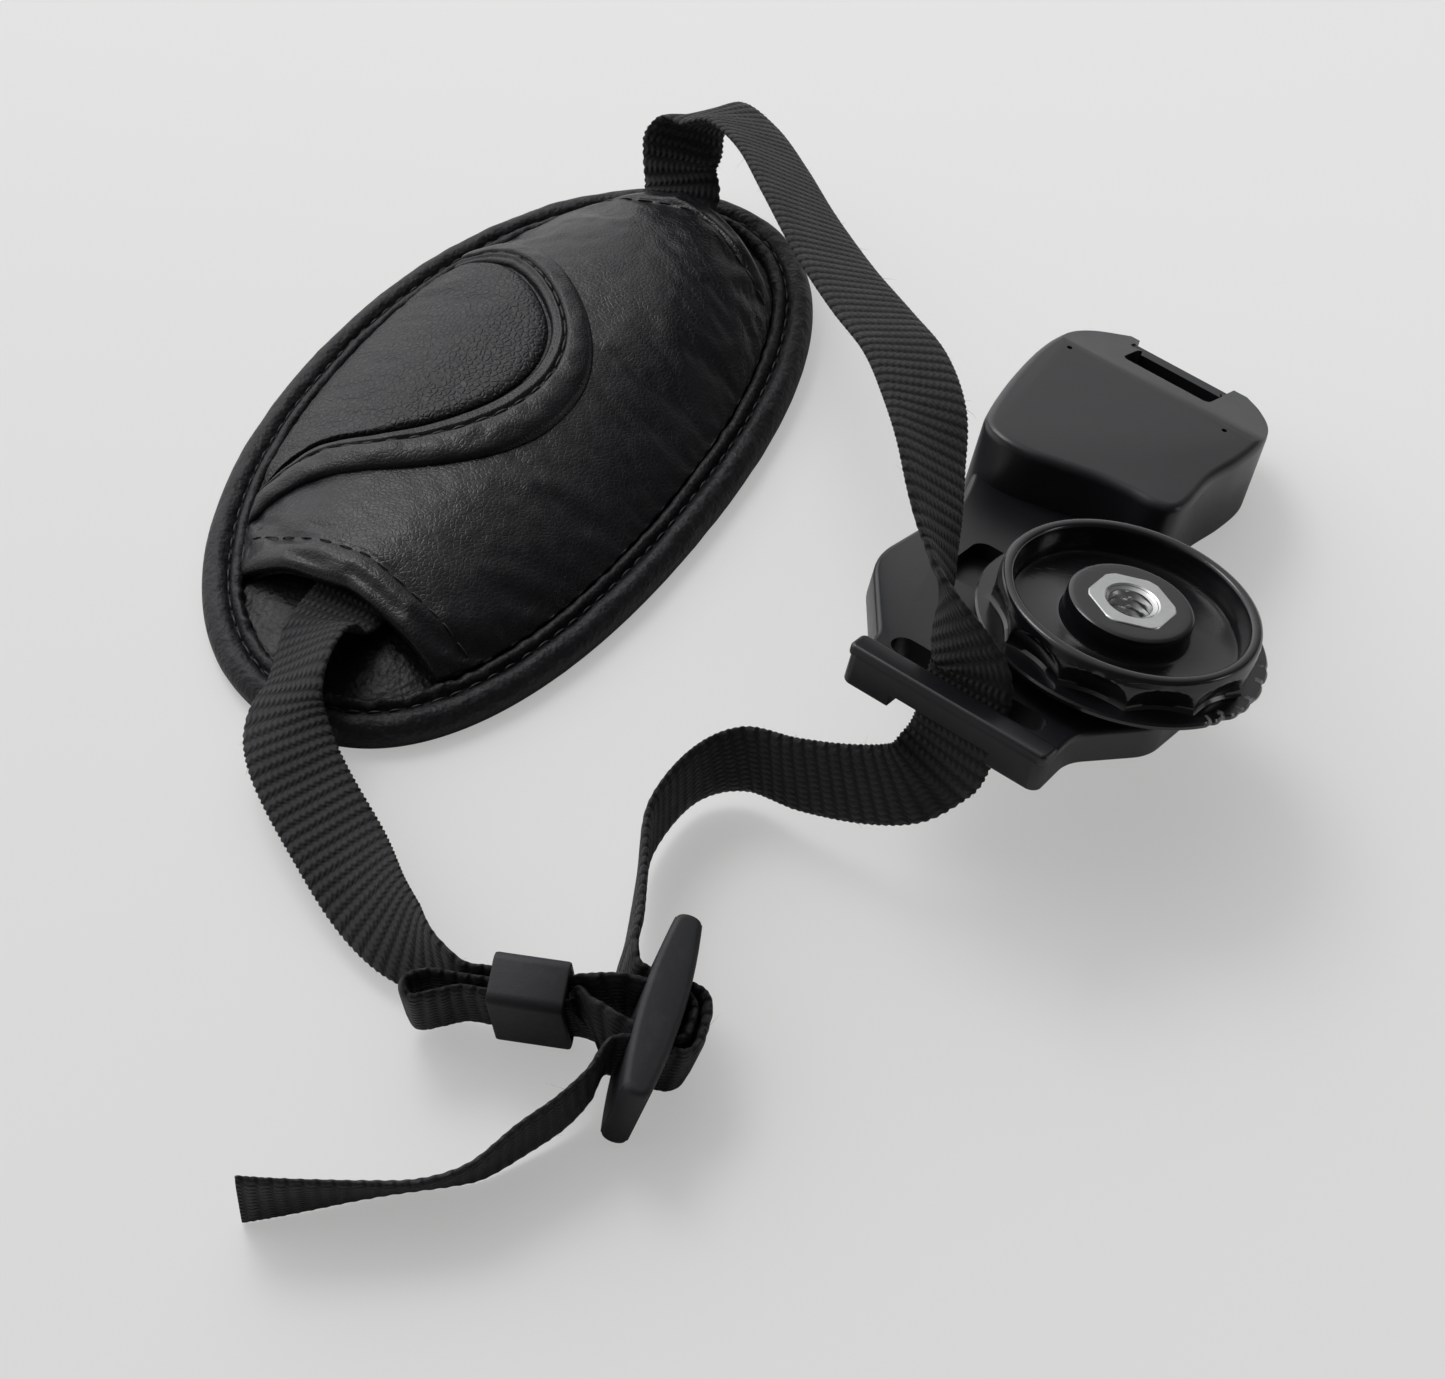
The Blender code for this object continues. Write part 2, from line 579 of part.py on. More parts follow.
def make_webbing():
    """One length of woven webbing, a flat ribbon that twists along its route."""
    rows = smooth_curve(ROUTE, ROUTE_STEPS)
    centre = np.array([row[:3] for row in rows]) - np.array(ORIGIN)
    across = np.array([row[3:] for row in rows])
    ahead = np.gradient(centre, axis=0)
    ahead /= np.linalg.norm(ahead, axis=1)[:, None]
    across -= ahead * np.sum(across * ahead, axis=1)[:, None]
    across /= np.linalg.norm(across, axis=1)[:, None]
    face = np.cross(ahead, across)
    w, t = WEB_WIDTH / 2, WEB_THICK / 2
    corners = ((-w, -t), (w, -t), (w, t), (-w, t))
    rings = [[tuple(c + a * i + f * j) for i, j in corners] for c, a, f in zip(centre, across, face)]
    points, quads = loft(rings)
    faces = []
    for a, b, c, d in quads:
        # Both broad faces are split along the same diagonal, so that a twist can't push one through the other.
        faces += [(a, b, d), (b, c, d)] if a % 4 == 2 else [(a, b, c), (a, c, d)]
    add_object("webbing_strap", points, faces, LOOKS["webbing"])


def make_keeper():
    """The webbing keeper, a short tube with rounded corners."""
    inner_high = WEB_WIDTH + 2 * GAP
    inner_wide = KEEPER_LAYERS * WEB_THICK + (KEEPER_LAYERS + 1) * GAP
    high, wide = inner_high / 2 + KEEPER_WALL, inner_wide / 2 + KEEPER_WALL
    travel = Vector(KEEPER_TRAVEL).normalized()
    up = Vector(KEEPER_UP)
    side = up.cross(travel).normalized()
    keeper = carrier("keeper_place", KEEPER_PLACE, travel, side)

    def ring(half_y, half_x, radius, y):
        corners = [(-half_x, -half_y, radius), (half_x, -half_y, radius), (half_x, half_y, radius),
                   (-half_x, half_y, radius)]
        return [(a, y, b) for a, b in rounded(corners, 30.0)]

    half = KEEPER_LENGTH / 2
    inner_radius = max(0.3, KEEPER_RADIUS - KEEPER_WALL)
    soft = 0.35
    rings = [ring(wide - soft, high - soft, KEEPER_RADIUS - soft / 2, -half),
             ring(wide, high, KEEPER_RADIUS, -half + soft),
             ring(wide, high, KEEPER_RADIUS, half - soft),
             ring(wide - soft, high - soft, KEEPER_RADIUS - soft / 2, half),
             ring(inner_wide / 2, inner_high / 2, inner_radius, half),
             ring(inner_wide / 2, inner_high / 2, inner_radius, -half)]
    points, faces = loft(rings, closed=True)
    add_object("strap_keeper", points, faces, LOOKS["dull_plastic"], keeper, 40.0)


def make_slider():
    """The bowed slider with two slots, its three bars running across the webbing's width."""
    slider = carrier("slider_place", SLIDER_PLACE, SLIDER_LONG, SLIDER_UP)
    half = SLIDER_LENGTH / 2
    bow = []
    parts = 10
    for k in range(parts + 1):
        y = -half + SLIDER_LENGTH * k / parts
        share = y / half
        bow.append((SLIDER_END / 2 + (SLIDER_MIDDLE - SLIDER_END) / 2 * (1 - share ** 2), y))
    outline = bow + [(-x, y) for x, y in reversed(bow)]
    high = SLIDER_HEIGHT / 2
    points, faces = prism(outline, -high, high, SLIDER_EDGE, SLIDER_EDGE)
    body = add_object("strap_slider", points, faces, LOOKS["dull_plastic"], slider, 30.0)
    slot_half = WEB_WIDTH / 2 + 2 * GAP
    for side in (-1, 1):
        middle = side * (SLIDER_BAR / 2 + SLIDER_SLOT / 2)
        corners = [(middle - SLIDER_SLOT / 2, -slot_half, 0.5), (middle + SLIDER_SLOT / 2, -slot_half, 0.5),
                   (middle + SLIDER_SLOT / 2, slot_half, 0.5), (middle - SLIDER_SLOT / 2, slot_half, 0.5)]
        flat = rounded(corners, 45.0)
        rings = [[(x, y, z) for y, z in flat] for x in (-SLIDER_MIDDLE, SLIDER_MIDDLE)]
        cut(body, *loft(rings))


PLATE_OUTLINE = [(-24.3, -28.4, 0.8), (5.8, -28.4, 1.0), (5.4, -19.6, 7.0), (12.2, -9.6, 8.0), (12.6, 8.0, 11.0),
                 (-7.2, 25.0, 7.0), (-8.6, 44.0, 2.0), (-35.5, 44.0, 2.0), (-37.0, 29.0, 5.0), (-31.6, 12.0, 16.0),
                 (-33.0, -8.0, 12.0), (-22.8, -22.9, 5.0)]
BLOCK_OUTLINE = [(-5.4, 22.9, 2.8), (-7.7, 37.0, 26.0), (-5.0, 52.0, 9.0), (-8.6, 61.6, 4.0), (-14.0, 64.0, 3.0),
                 (-32.4, 64.0, 2.4), (-39.3, 55.0, 6.0), (-39.0, 38.0, 20.0), (-36.4, 21.0, 5.0),
                 (-25.0, 21.6, 20.0), (-15.0, 25.4, 9.0)]


def make_plate(plate):
    """The moulded base plate: a thin S-shaped plate with a strap bar, rising to a block at its far end."""
    outline = rounded(PLATE_OUTLINE, 14.0)
    points, faces = prism(outline, 0.0, PLATE_THICK, 0.4, PLATE_EDGE)
    body = add_object("base_plate", points, faces, LOOKS["satin_plastic"], plate, 32.0)

    block = rounded(BLOCK_OUTLINE, 14.0)
    cut(body, *prism(block, 0.0, BLOCK_THICK, 0.4, BLOCK_EDGE), operation="UNION")

    slot_x, slot_y = STRAP_SLOT_PLACE
    half_l, half_w = STRAP_SLOT_LENGTH / 2, STRAP_SLOT_WIDTH / 2
    slot = rounded([(slot_x - half_l, slot_y - half_w, half_w * 0.9), (slot_x + half_l, slot_y - half_w, half_w * 0.9),
                    (slot_x + half_l, slot_y + half_w, half_w * 0.9), (slot_x - half_l, slot_y + half_w, half_w * 0.9)],
                   30.0)
    cut(body, *prism(slot, -1.0, PLATE_THICK + 1.0, 0.0, 0.0))

    end_x, end_y = END_SLOT_PLACE
    half_l, half_w = END_SLOT_LENGTH / 2, END_SLOT_WIDTH / 2
    slot = rounded([(end_x - half_l, end_y - half_w, 1.0), (end_x + half_l, end_y - half_w, 1.0),
                    (end_x + half_l, end_y + half_w, 1.0), (end_x - half_l, end_y + half_w, 1.0)], 30.0)
    cut(body, *prism(slot, -1.0, BLOCK_THICK + 1.0, 0.0, 0.0))

    slope = [(END_SLOPE_START, BLOCK_THICK + 0.001), (70.0, BLOCK_THICK + 0.001),
             (70.0, BLOCK_THICK - END_SLOPE_DROP * (70.0 - END_SLOPE_START) / 11.0)]
    rings = [[(x, y, z) for y, z in slope] for x in (-45.0, 0.0)]
    cut(body, *loft(rings))

    trim_low, trim_high = 3.0, BLOCK_THICK - END_SLOPE_DROP - 1.6
    bar_y = end_y + half_w
    for low, high in ((-1.0, trim_low), (trim_high, BLOCK_THICK + 1.0)):
        box = [(end_x - half_l, bar_y - 1.0), (end_x + half_l, bar_y - 1.0), (end_x + half_l, bar_y + 8.0),
               (end_x - half_l, bar_y + 8.0)]
        cut(body, *prism(box, low, high, 0.0, 0.0))

    cut(body, *prism(circle(SCREW_BORE, 32), -1.0, PLATE_THICK + 1.0, 0.0, 0.0))
    cut(body, *prism(circle(RETAINER_POCKET_RADIUS, 40), -1.0, RETAINER_POCKET_DEPTH, 0.0, 0.0))
    recess_depth = RUBBER_THICK - RUBBER_PROUD + GAP
    recess = inset(rounded(RUBBER_OUTLINE, 20.0), -GAP)
    cut(body, *prism(recess, -1.0, recess_depth, 0.0, 0.0))
    pocket = rounded([(-25.2, -3.6, 2.0), (-17.0, -3.6, 2.0), (-17.0, 7.0, 2.0), (-25.2, 7.0, 2.0)], 30.0)
    cut(body, *prism(pocket, PLATE_THICK - 2.4, PLATE_THICK + 1.0, 0.0, 0.0))


RUBBER_OUTLINE = [(8.0, -14.0, 5.0), (9.0, 7.0, 8.0), (-11.0, 23.0, 6.0), (-11.5, 50.0, 4.0), (-34.0, 50.0, 4.0),
                  (-33.0, 27.0, 5.0), (-28.0, 12.0, 12.0), (-29.0, -8.0, 8.0), (-22.0, -16.5, 4.0)]


def make_rubber(plate):
    """The rubber pad let into the plate's camera side, with a hole for the screw."""
    low = -RUBBER_PROUD
    points, faces = prism(rounded(RUBBER_OUTLINE, 20.0), low, low + RUBBER_THICK, 0.2, 0.0)
    pad = add_object("camera_pad", points, faces, LOOKS["rubber"], plate, 32.0)
    cut(pad, *prism(circle(RETAINER_POCKET_RADIUS + 1.4, 40), -2.0, 2.0, 0.0, 0.0))


def flute(angle):
    """Depth share of the wheel's scalloped grip round its wall."""
    part = (angle * FLUTES / (2 * math.pi)) % 1.0
    return max(0.0, math.sin(math.pi * part)) ** 1.2


def hex_point(angle, flat):
    """A point of a hexagon's outline at an angle, given half its width across flats."""
    part = (angle + math.pi / 6) % (math.pi / 3) - math.pi / 6
    reach = flat / math.cos(part)
    return reach * math.cos(angle), reach * math.sin(angle)


def make_wheel(plate):
    """The thumb wheel: a thin flange, a fluted cup wall, a floor and a round boss."""
    base = PLATE_THICK + WHEEL_SEAT
    hub_low = PLATE_THICK + GAP
    rim = base + WHEEL_HEIGHT
    boss_top = rim - BOSS_DROP
    bore = SCREW_RADIUS + GAP
    arch = FLUTE_TOP - FLANGE_THICK
    profile = [(bore, hub_low, 0), (HUB_RADIUS, hub_low, 0), (HUB_RADIUS, base, 0), (FLANGE_RADIUS, base, 0),
               (FLANGE_RADIUS, base + FLANGE_THICK * 0.7, 0), (FLANGE_RADIUS - 0.3, base + FLANGE_THICK, 0),
               (WALL_RADIUS, base + FLANGE_THICK, 1.0), (WALL_RADIUS, base + FLANGE_THICK + arch * 0.45, 0.9),
               (WALL_RADIUS - 0.1, base + FLANGE_THICK + arch * 0.75, 0.6), (WALL_RADIUS - 0.2, base + FLUTE_TOP, 0.0),
               (WALL_RADIUS - 0.3, rim - 0.5, 0), (WALL_RADIUS - 0.8, rim, 0), (RIM_INNER_RADIUS, rim, 0),
               (RIM_INNER_RADIUS - 0.3, base + CUP_FLOOR, 0),
               (BOSS_RADIUS, base + CUP_FLOOR, 0), (BOSS_RADIUS, boss_top - 0.6, 0),
               (BOSS_RADIUS - 0.6, boss_top, 0), (bore, boss_top, 0)]
    count = FLUTES * WHEEL_STEPS
    rings = []
    for radius, height, share in profile:
        ring = []
        for k in range(count):
            angle = 2 * math.pi * k / count
            r = radius - FLUTE_DEPTH * share * flute(angle)
            ring.append((r * math.cos(angle), r * math.sin(angle), height))
        rings.append(ring)
    points, faces = loft(rings, closed=True)
    wheel = add_object("thumb_wheel", points, faces, LOOKS["gloss_plastic"], plate, 32.0)
    seat = [hex_point(math.pi * (2 * k + 1) / 6, HEX_ACROSS_FLATS / 2 + GAP) for k in range(6)]
    cut(wheel, *prism(seat, boss_top - HEX_HEIGHT - GAP, boss_top + 2.0, 0.0, 0.0))


def make_screw(plate):
    """The captive tripod screw: a hex head tapped for another screw, a neck and a threaded end."""
    top = PLATE_THICK + WHEEL_SEAT + WHEEL_HEIGHT - BOSS_DROP
    head_low = top - HEX_HEIGHT
    def hexed(share):
        return [hex_point(2 * math.pi * k / SCREW_POINTS, share * HEX_ACROSS_FLATS / 2) for k in range(SCREW_POINTS)]

    low_end = -RUBBER_PROUD - SCREW_REACH
    neck_low = -RUBBER_PROUD - 1.2
    levels = [(circle(SCREW_RADIUS - 0.8, SCREW_POINTS), low_end), (circle(SCREW_RADIUS, SCREW_POINTS), low_end + 0.8),
              (circle(SCREW_RADIUS, SCREW_POINTS), neck_low - 0.6), (circle(SCREW_NECK_RADIUS, SCREW_POINTS), neck_low),
              (circle(SCREW_NECK_RADIUS, SCREW_POINTS), RETAINER_POCKET_DEPTH - GAP),
              (circle(SCREW_RADIUS, SCREW_POINTS), RETAINER_POCKET_DEPTH), (circle(SCREW_RADIUS, SCREW_POINTS), head_low),
              (hexed(1.0), head_low), (hexed(1.0), top - 0.25), (hexed(0.965), top + 0.15),
              (circle(THREAD_HOLE_RADIUS + 0.7, SCREW_POINTS), top + 0.15), (circle(THREAD_HOLE_RADIUS, SCREW_POINTS), top - 0.6),
              (circle(THREAD_HOLE_RADIUS, SCREW_POINTS), top - THREAD_HOLE_DEPTH)]
    rings = [[(x, y, z) for x, y in ring] for ring, z in levels]
    points, faces = loft(rings)
    add_object("camera_screw", points, faces, LOOKS["zinc"], plate, 32.0)

    low = -RETAINER_THICK / 2
    hole = SCREW_NECK_RADIUS + GAP
    rings = [[(x, y, z) for x, y in circle(r, 40)] for r, z in
             ((hole, low), (RETAINER_RADIUS, low), (RETAINER_RADIUS, low + RETAINER_THICK),
              (hole, low + RETAINER_THICK))]
    points, faces = loft(rings, closed=True)
    add_object("screw_retainer", points, faces, LOOKS["dull_plastic"], plate, 32.0)


# Colour, roughness and metallic value of each kind of material.
LOOKS = {
    "leather": ((0.022, 0.023, 0.026), 0.42),
    "binding": ((0.018, 0.019, 0.022), 0.5),
    "lining": ((0.03, 0.03, 0.032), 0.85),
    "foam": ((0.06, 0.06, 0.06), 0.9),
    "webbing": ((0.02, 0.021, 0.023), 0.8),
    "dull_plastic": ((0.03, 0.031, 0.034), 0.6),
    "satin_plastic": ((0.02, 0.021, 0.023), 0.42),
    "gloss_plastic": ((0.012, 0.012, 0.014), 0.22),
    "rubber": ((0.025, 0.025, 0.025), 0.8),
    "zinc": ((0.72, 0.73, 0.74), 0.32, 1.0),
}


def main():
    clear_scene()
    turn = math.radians(PAD_TURN)
    pad = carrier("pad_place", PAD_PLACE, (-math.sin(turn), math.cos(turn), 0), (0, 0, 1))
    make_pad_base(pad)
    make_cover(pad)
    make_applique(pad)
    make_webbing()
    make_keeper()
    make_slider()
    plate = carrier("plate_place", PLATE_PLACE, PLATE_LONG, PLATE_UP)
    make_plate(plate)
    make_rubber(plate)
    make_wheel(plate)
    make_screw(plate)


main()
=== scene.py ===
"""A padded camera hand grip on woven webbing, with its moulded base plate and fluted thumb wheel."""
import math
import random

import bmesh
import bpy
import numpy as np
from mathutils import Matrix, Vector, noise


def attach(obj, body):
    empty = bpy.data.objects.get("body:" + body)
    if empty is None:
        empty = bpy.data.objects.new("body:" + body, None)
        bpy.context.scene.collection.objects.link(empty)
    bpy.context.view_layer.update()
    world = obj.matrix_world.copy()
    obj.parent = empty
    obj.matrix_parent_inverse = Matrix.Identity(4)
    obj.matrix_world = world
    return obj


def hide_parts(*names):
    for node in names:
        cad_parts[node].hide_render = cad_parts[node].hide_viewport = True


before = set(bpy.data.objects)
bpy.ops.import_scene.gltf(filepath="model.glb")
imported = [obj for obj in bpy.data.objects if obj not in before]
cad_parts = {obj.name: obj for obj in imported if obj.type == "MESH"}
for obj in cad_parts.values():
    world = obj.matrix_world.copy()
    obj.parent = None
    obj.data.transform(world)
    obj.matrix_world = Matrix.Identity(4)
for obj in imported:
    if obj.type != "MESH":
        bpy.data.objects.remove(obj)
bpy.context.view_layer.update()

# The photograph looks down at about fifty degrees with a long lens, and the object fills most of its frame.
# The view's middle lies on the surface between the grip and the base plate, 0.495 m from the lens.
view_angle = math.radians(50)
view_distance = 0.49486
camera_data = bpy.data.cameras.new("camera")
camera_data.lens = 90.0
camera_data.sensor_width = 36.0
camera_data.clip_start = 0.01


def linked(name, data):
    """A new object in the scene."""
    made = bpy.data.objects.new(name, data)
    bpy.context.collection.objects.link(made)
    return made


camera = linked("camera", camera_data)
camera.location = (-0.0029, -0.0292 - view_distance * math.cos(view_angle), view_distance * math.sin(view_angle))
camera.rotation_euler = (math.pi / 2 - view_angle, 0, 0)
bpy.context.scene.camera = camera
bpy.context.scene.view_settings.view_transform = "Standard"


class Field:
    """A socket of a material's nodes, so that sums on sockets read as sums."""

    def __init__(self, look, socket):
        self.look, self.socket = look, socket

    def join(self, operation, other):
        return self.look.node("ShaderNodeMath", {0: self, 1: other}, operation=operation)

    def __add__(self, other):
        return self.join("ADD", other)

    __radd__ = __add__

    def __sub__(self, other):
        return self.join("SUBTRACT", other)

    def __mul__(self, other):
        return self.join("MULTIPLY", other)

    def sine(self):
        return self.join("SINE", 0.0)

    def between(self, low, high):
        """0 below low, 1 above high and a smooth rise between them."""
        return self.look.node("ShaderNodeMapRange", {"Value": self, "From Min": low, "From Max": high},
                              interpolation_type="SMOOTHSTEP")


class Nodes:
    """A tree of a material's or a world's nodes."""

    def __init__(self, tree):
        self.tree = tree

    def node(self, kind, inputs=None, output=0, **settings):
        """Any node, with its settings, its inputs as values or fields, and one output as a field."""
        made = self.tree.nodes.new(kind)
        for key, value in settings.items():
            setattr(made, key, value)
        for key, value in (inputs or {}).items():
            if isinstance(value, Field):
                self.tree.links.new(value.socket, made.inputs[key])
            else:
                made.inputs[key].default_value = value
        return Field(self, made.outputs[output])


class Look(Nodes):
    """A Principled material; what is the same all over is set on its own socket."""

    def __init__(self, name, colour, roughness, specular=0.5, **constants):
        self.material = bpy.data.materials.new(name)
        self.material.use_nodes = True
        super().__init__(self.material.node_tree)
        self.shader = self.tree.nodes["Principled BSDF"]
        self.shader.inputs["Base Color"].default_value = (*colour, 1.0)
        self.shader.inputs["Roughness"].default_value = roughness
        self.shader.inputs["Specular IOR Level"].default_value = specular
        for words, value in constants.items():
            self.shader.inputs[words.replace("_", " ")].default_value = value

    def place(self, stretch=(1, 1, 1), turn=0.0):
        """Where a point is in metres, turned and stretched to lay a pattern along a direction."""
        spot = self.node("ShaderNodeTexCoord", output="Object")
        return self.node("ShaderNodeMapping", {"Vector": spot, "Scale": stretch, "Rotation": (0, 0, turn)})

    def speckle(self, size, detail=3.0, rough=0.5, stretch=(1, 1, 1), turn=0.0):
        """Soft noise whose patches are about size metres across."""
        return self.node("ShaderNodeTexNoise", {"Vector": self.place(stretch, turn), "Scale": 1 / size,
                                                "Detail": detail, "Roughness": rough})

    def pebbles(self, size, feature="F1", stretch=(1, 1, 1)):
        """Distance from the middle of grains about size metres across."""
        return self.node("ShaderNodeTexVoronoi", {"Vector": self.place(stretch), "Scale": 1 / size},
                         output="Distance", feature=feature)

    def mix(self, share, first, second):
        """A colour between two colours."""
        first, second = (c if isinstance(c, Field) else (*c, 1.0) for c in (first, second))
        return self.node("ShaderNodeMix", {0: share, 6: first, 7: second}, output=2, data_type="RGBA")

    def feed(self, name, field):
        self.tree.links.new(field.socket, self.shader.inputs[name])

    def surface(self, share, dark, light, roughness=None):
        """The colour, a share of the way from a dark one to a light one, and where given the roughness."""
        self.feed("Base Color", self.mix(share, dark, light))
        if roughness is not None:
            self.feed("Roughness", roughness)

    def relief(self, *layers):
        """Bump layers, each a height field from 0 to 1 with its depth in metres and its strength."""
        normal = None
        for height, depth, strength in layers:
            inputs = {"Height": height, "Distance": depth, "Strength": strength}
            if normal is not None:
                inputs["Normal"] = normal
            normal = self.node("ShaderNodeBump", inputs)
        self.feed("Normal", normal)


# The webbing is one flat woven tape, 12 mm wide. It starts inside the keeper, turns back through it, wraps the
# slider's middle bar, runs through the grip, over and down through the plate's slot, round the slider's bar once
# more and out to its cut end. Its route is in tenths of a millimetre, with the tape's direction in thousandths.
route = [(-235, -877, 85, -40, -250, 970), (-314, -863, 85, -40, -250, 970), (-353, -856, 85, -40, -250, 970),
         (-385, -850, 86, -40, -250, 970), (-412, -854, 85, -40, -250, 970), (-423, -868, 82, -40, -250, 970),
         (-412, -882, 78, -40, -250, 970), (-383, -877, 79, -40, -250, 970), (-352, -871, 81, -40, -250, 970),
         (-317, -877, 81, -40, -250, 970), (-208, -896, 81, -40, -250, 970), (-183, -917, 92, 150, -190, 970),
         (-157, -937, 95, 220, -160, 960), (-125, -947, 87, 220, -160, 960), (-101, -952, 80, 220, -160, 960),
         (-86, -945, 78, 220, -160, 960), (-78, -925, 80, 220, -160, 960), (-75, -904, 82, 220, -160, 960),
         (-84, -891, 87, 220, -160, 960), (-109, -885, 93, 220, -160, 960), (-147, -878, 102, 220, -160, 960),
         (-179, -872, 98, 100, -200, 970), (-213, -865, 89, -40, -250, 970), (-312, -848, 88, -40, -250, 970),
         (-345, -842, 88, -40, -250, 970), (-373, -825, 88, 120, -200, 970), (-425, -782, 80, 500, 50, 860),
         (-473, -719, 73, 700, 200, 680), (-525, -619, 70, 890, 340, 300), (-574, -527, 75, 950, 250, 200),
         (-601, -464, 82, 980, 0, 200), (-612, -407, 88, 900, -100, 420), (-598, -342, 100, 700, -300, 620),
         (-579, -267, 92, 760, -400, 500), (-553, -220, 74, 850, -520, 60), (-494, -122, 72, 857, -515, 0),
         (-331, 151, 80, 857, -515, 0), (-164, 433, 72, 857, -515, 0), (-125, 528, 69, 880, -470, 0),
         (-105, 584, 69, 880, -470, 0), (-91, 620, 83, 880, -450, 0), (-93, 650, 120, 900, -360, 100),
         (-79, 672, 165, 820, 200, -500), (-48, 660, 205, 780, 580, -180), (0, 595, 240, 880, 270, -390),
         (43, 477, 280, 860, 90, -500), (80, 322, 330, 870, 70, -480), (125, 153, 380, 910, 150, -390),
         (171, 15, 420, 920, 240, -310), (210, -87, 445, 930, 230, -300), (231, -185, 455, 920, 120, -370),
         (237, -279, 450, 750, 110, -650), (240, -357, 435, 590, 230, -770), (244, -410, 416, 400, 380, -840),
         (247, -446, 404, 210, 500, -840), (253, -478, 387, -180, 640, -740), (263, -503, 368, -520, 670, -520),
         (275, -523, 347, -730, 600, -330), (284, -536, 326, -810, 585, -80), (283, -541, 305, -806, 589, 54),
         (272, -552, 258, -806, 589, 54), (263, -561, 215, -750, 600, 200), (247, -566, 180, -450, 500, 700),
         (210, -574, 150, -50, 330, 930), (149, -556, 123, 0, 280, 960), (72, -522, 100, 0, 200, 980),
         (0, -485, 86, 0, 80, 1000), (-68, -507, 78, 0, -40, 1000), (-121, -590, 78, 20, -40, 1000),
         (-133, -681, 83, 100, -40, 1000), (-141, -772, 98, 170, -100, 980), (-148, -817, 106, 200, -140, 970),
         (-148, -840, 108, 220, -160, 960), (-144, -856, 106, 220, -160, 960), (-131, -864, 102, 220, -160, 960),
         (-105, -870, 95, 220, -160, 960), (-79, -877, 88, 220, -160, 960), (-62, -886, 82, 220, -160, 960),
         (-57, -904, 78, 220, -160, 960), (-62, -929, 75, 220, -160, 960), (-70, -954, 73, 220, -160, 960),
         (-83, -967, 74, 220, -160, 960), (-103, -967, 78, 220, -160, 960), (-129, -962, 85, 220, -160, 960),
         (-154, -957, 91, 220, -160, 960), (-172, -961, 92, 180, -180, 960), (-183, -975, 88, 120, -210, 960),
         (-195, -997, 82, 60, -240, 960), (-228, -1030, 73, 0, -260, 960), (-275, -1064, 66, 0, -280, 960),
         (-323, -1100, 60, 0, -400, 920), (-359, -1114, 57, 0, -480, 880), (-403, -1122, 55, 0, -510, 860),
         (-456, -1129, 57, 0, -440, 900), (-524, -1138, 60, 0, -300, 950), (-573, -1143, 61, 0, -190, 980),
         (-612, -1146, 62, 0, -100, 990)]


def smooth_curve(points, steps):
    """A Catmull-Rom curve through rows of numbers."""
    rows = [np.asarray(p, float) for p in points]
    rows = [2 * rows[0] - rows[1]] + rows + [2 * rows[-1] - rows[-2]]
    out = []
    for a, b, c, d in zip(rows, rows[1:], rows[2:], rows[3:]):
        for k in range(steps):
            t = k / steps
            out.append(0.5 * (2 * b + (c - a) * t + (2 * a - 5 * b + 4 * c - d) * t * t
                              + (3 * b - a - 3 * c + d) * t ** 3))
    out.append(rows[-2])
    return np.array(out)


def closed_mesh(name, points, faces, place=None):
    """A mesh in metres, moved to its place, whose faces all look outwards."""
    mesh = bpy.data.meshes.new(name)
    mesh.from_pydata([tuple(map(float, p)) for p in points], [], faces)
    if place is not None:
        mesh.transform(place)
    shell = bmesh.new()
    shell.from_mesh(mesh)
    bmesh.ops.recalc_face_normals(shell, faces=shell.faces)
    shell.to_mesh(mesh)
    shell.free()
    return mesh


def make(name, points, faces, look, body="grip_and_plate", place=None, sharp=None, slot=None, instead=()):
    """A piece that rides on a body, in its material, with its edges kept sharp over an angle in degrees."""
    mesh = closed_mesh(name, points, faces, place)
    mesh.shade_smooth()
    if sharp:
        mesh.set_sharp_from_angle(angle=math.radians(sharp))
    mesh.materials.append(look.material)
    piece = linked(name, mesh)
    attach(piece, body)
    if instead:
        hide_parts(*instead)
    return piece


def loft(rings, closed=False):
    """Points and faces of a skin over equal rings, capped unless the rings close on themselves."""
    count = len(rings[0])
    points = [p for ring in rings for p in ring]
    faces = []
    for i in range(len(rings) if closed else len(rings) - 1):
        a, b = i * count, ((i + 1) % len(rings)) * count
        faces += [(a + k, a + (k + 1) % count, b + (k + 1) % count, b + k) for k in range(count)]
    if not closed:
        faces.append(tuple(range(count))[::-1])
        faces.append(tuple(range((len(rings) - 1) * count, len(rings) * count)))
    return points, faces


web_half, web_thick = 0.006, 0.00132
row_pitch, yarn_pitch = 0.0018, 0.00094
tooth_size, row_ripple, body_share = 0.0003, 0.00005, 0.985
coarse = smooth_curve(np.array(route) / ([10000] * 3 + [1000] * 3), 12)
spans = np.concatenate([[0.0], np.cumsum(np.linalg.norm(np.diff(coarse[:, :3], axis=0), axis=1))])
run = np.linspace(0.0, spans[-1], int(spans[-1] / (row_pitch / 7)))
stations = np.stack([np.interp(run, spans, coarse[:, k]) for k in range(6)], 1)
centre, across = stations[:, :3], stations[:, 3:]
ahead = np.gradient(centre, axis=0)
for _ in range(3):
    ahead[1:-1] = (ahead[:-2] + ahead[1:-1] + ahead[2:]) / 3
ahead /= np.linalg.norm(ahead, axis=1)[:, None]
across = across - ahead * np.sum(across * ahead, axis=1)[:, None]
across /= np.linalg.norm(across, axis=1)[:, None]
face = np.cross(ahead, across)
columns = 14
shares = [math.sin(math.pi / 2 * (2 * k / columns - 1)) for k in range(columns + 1)]
rings, marks = [], []
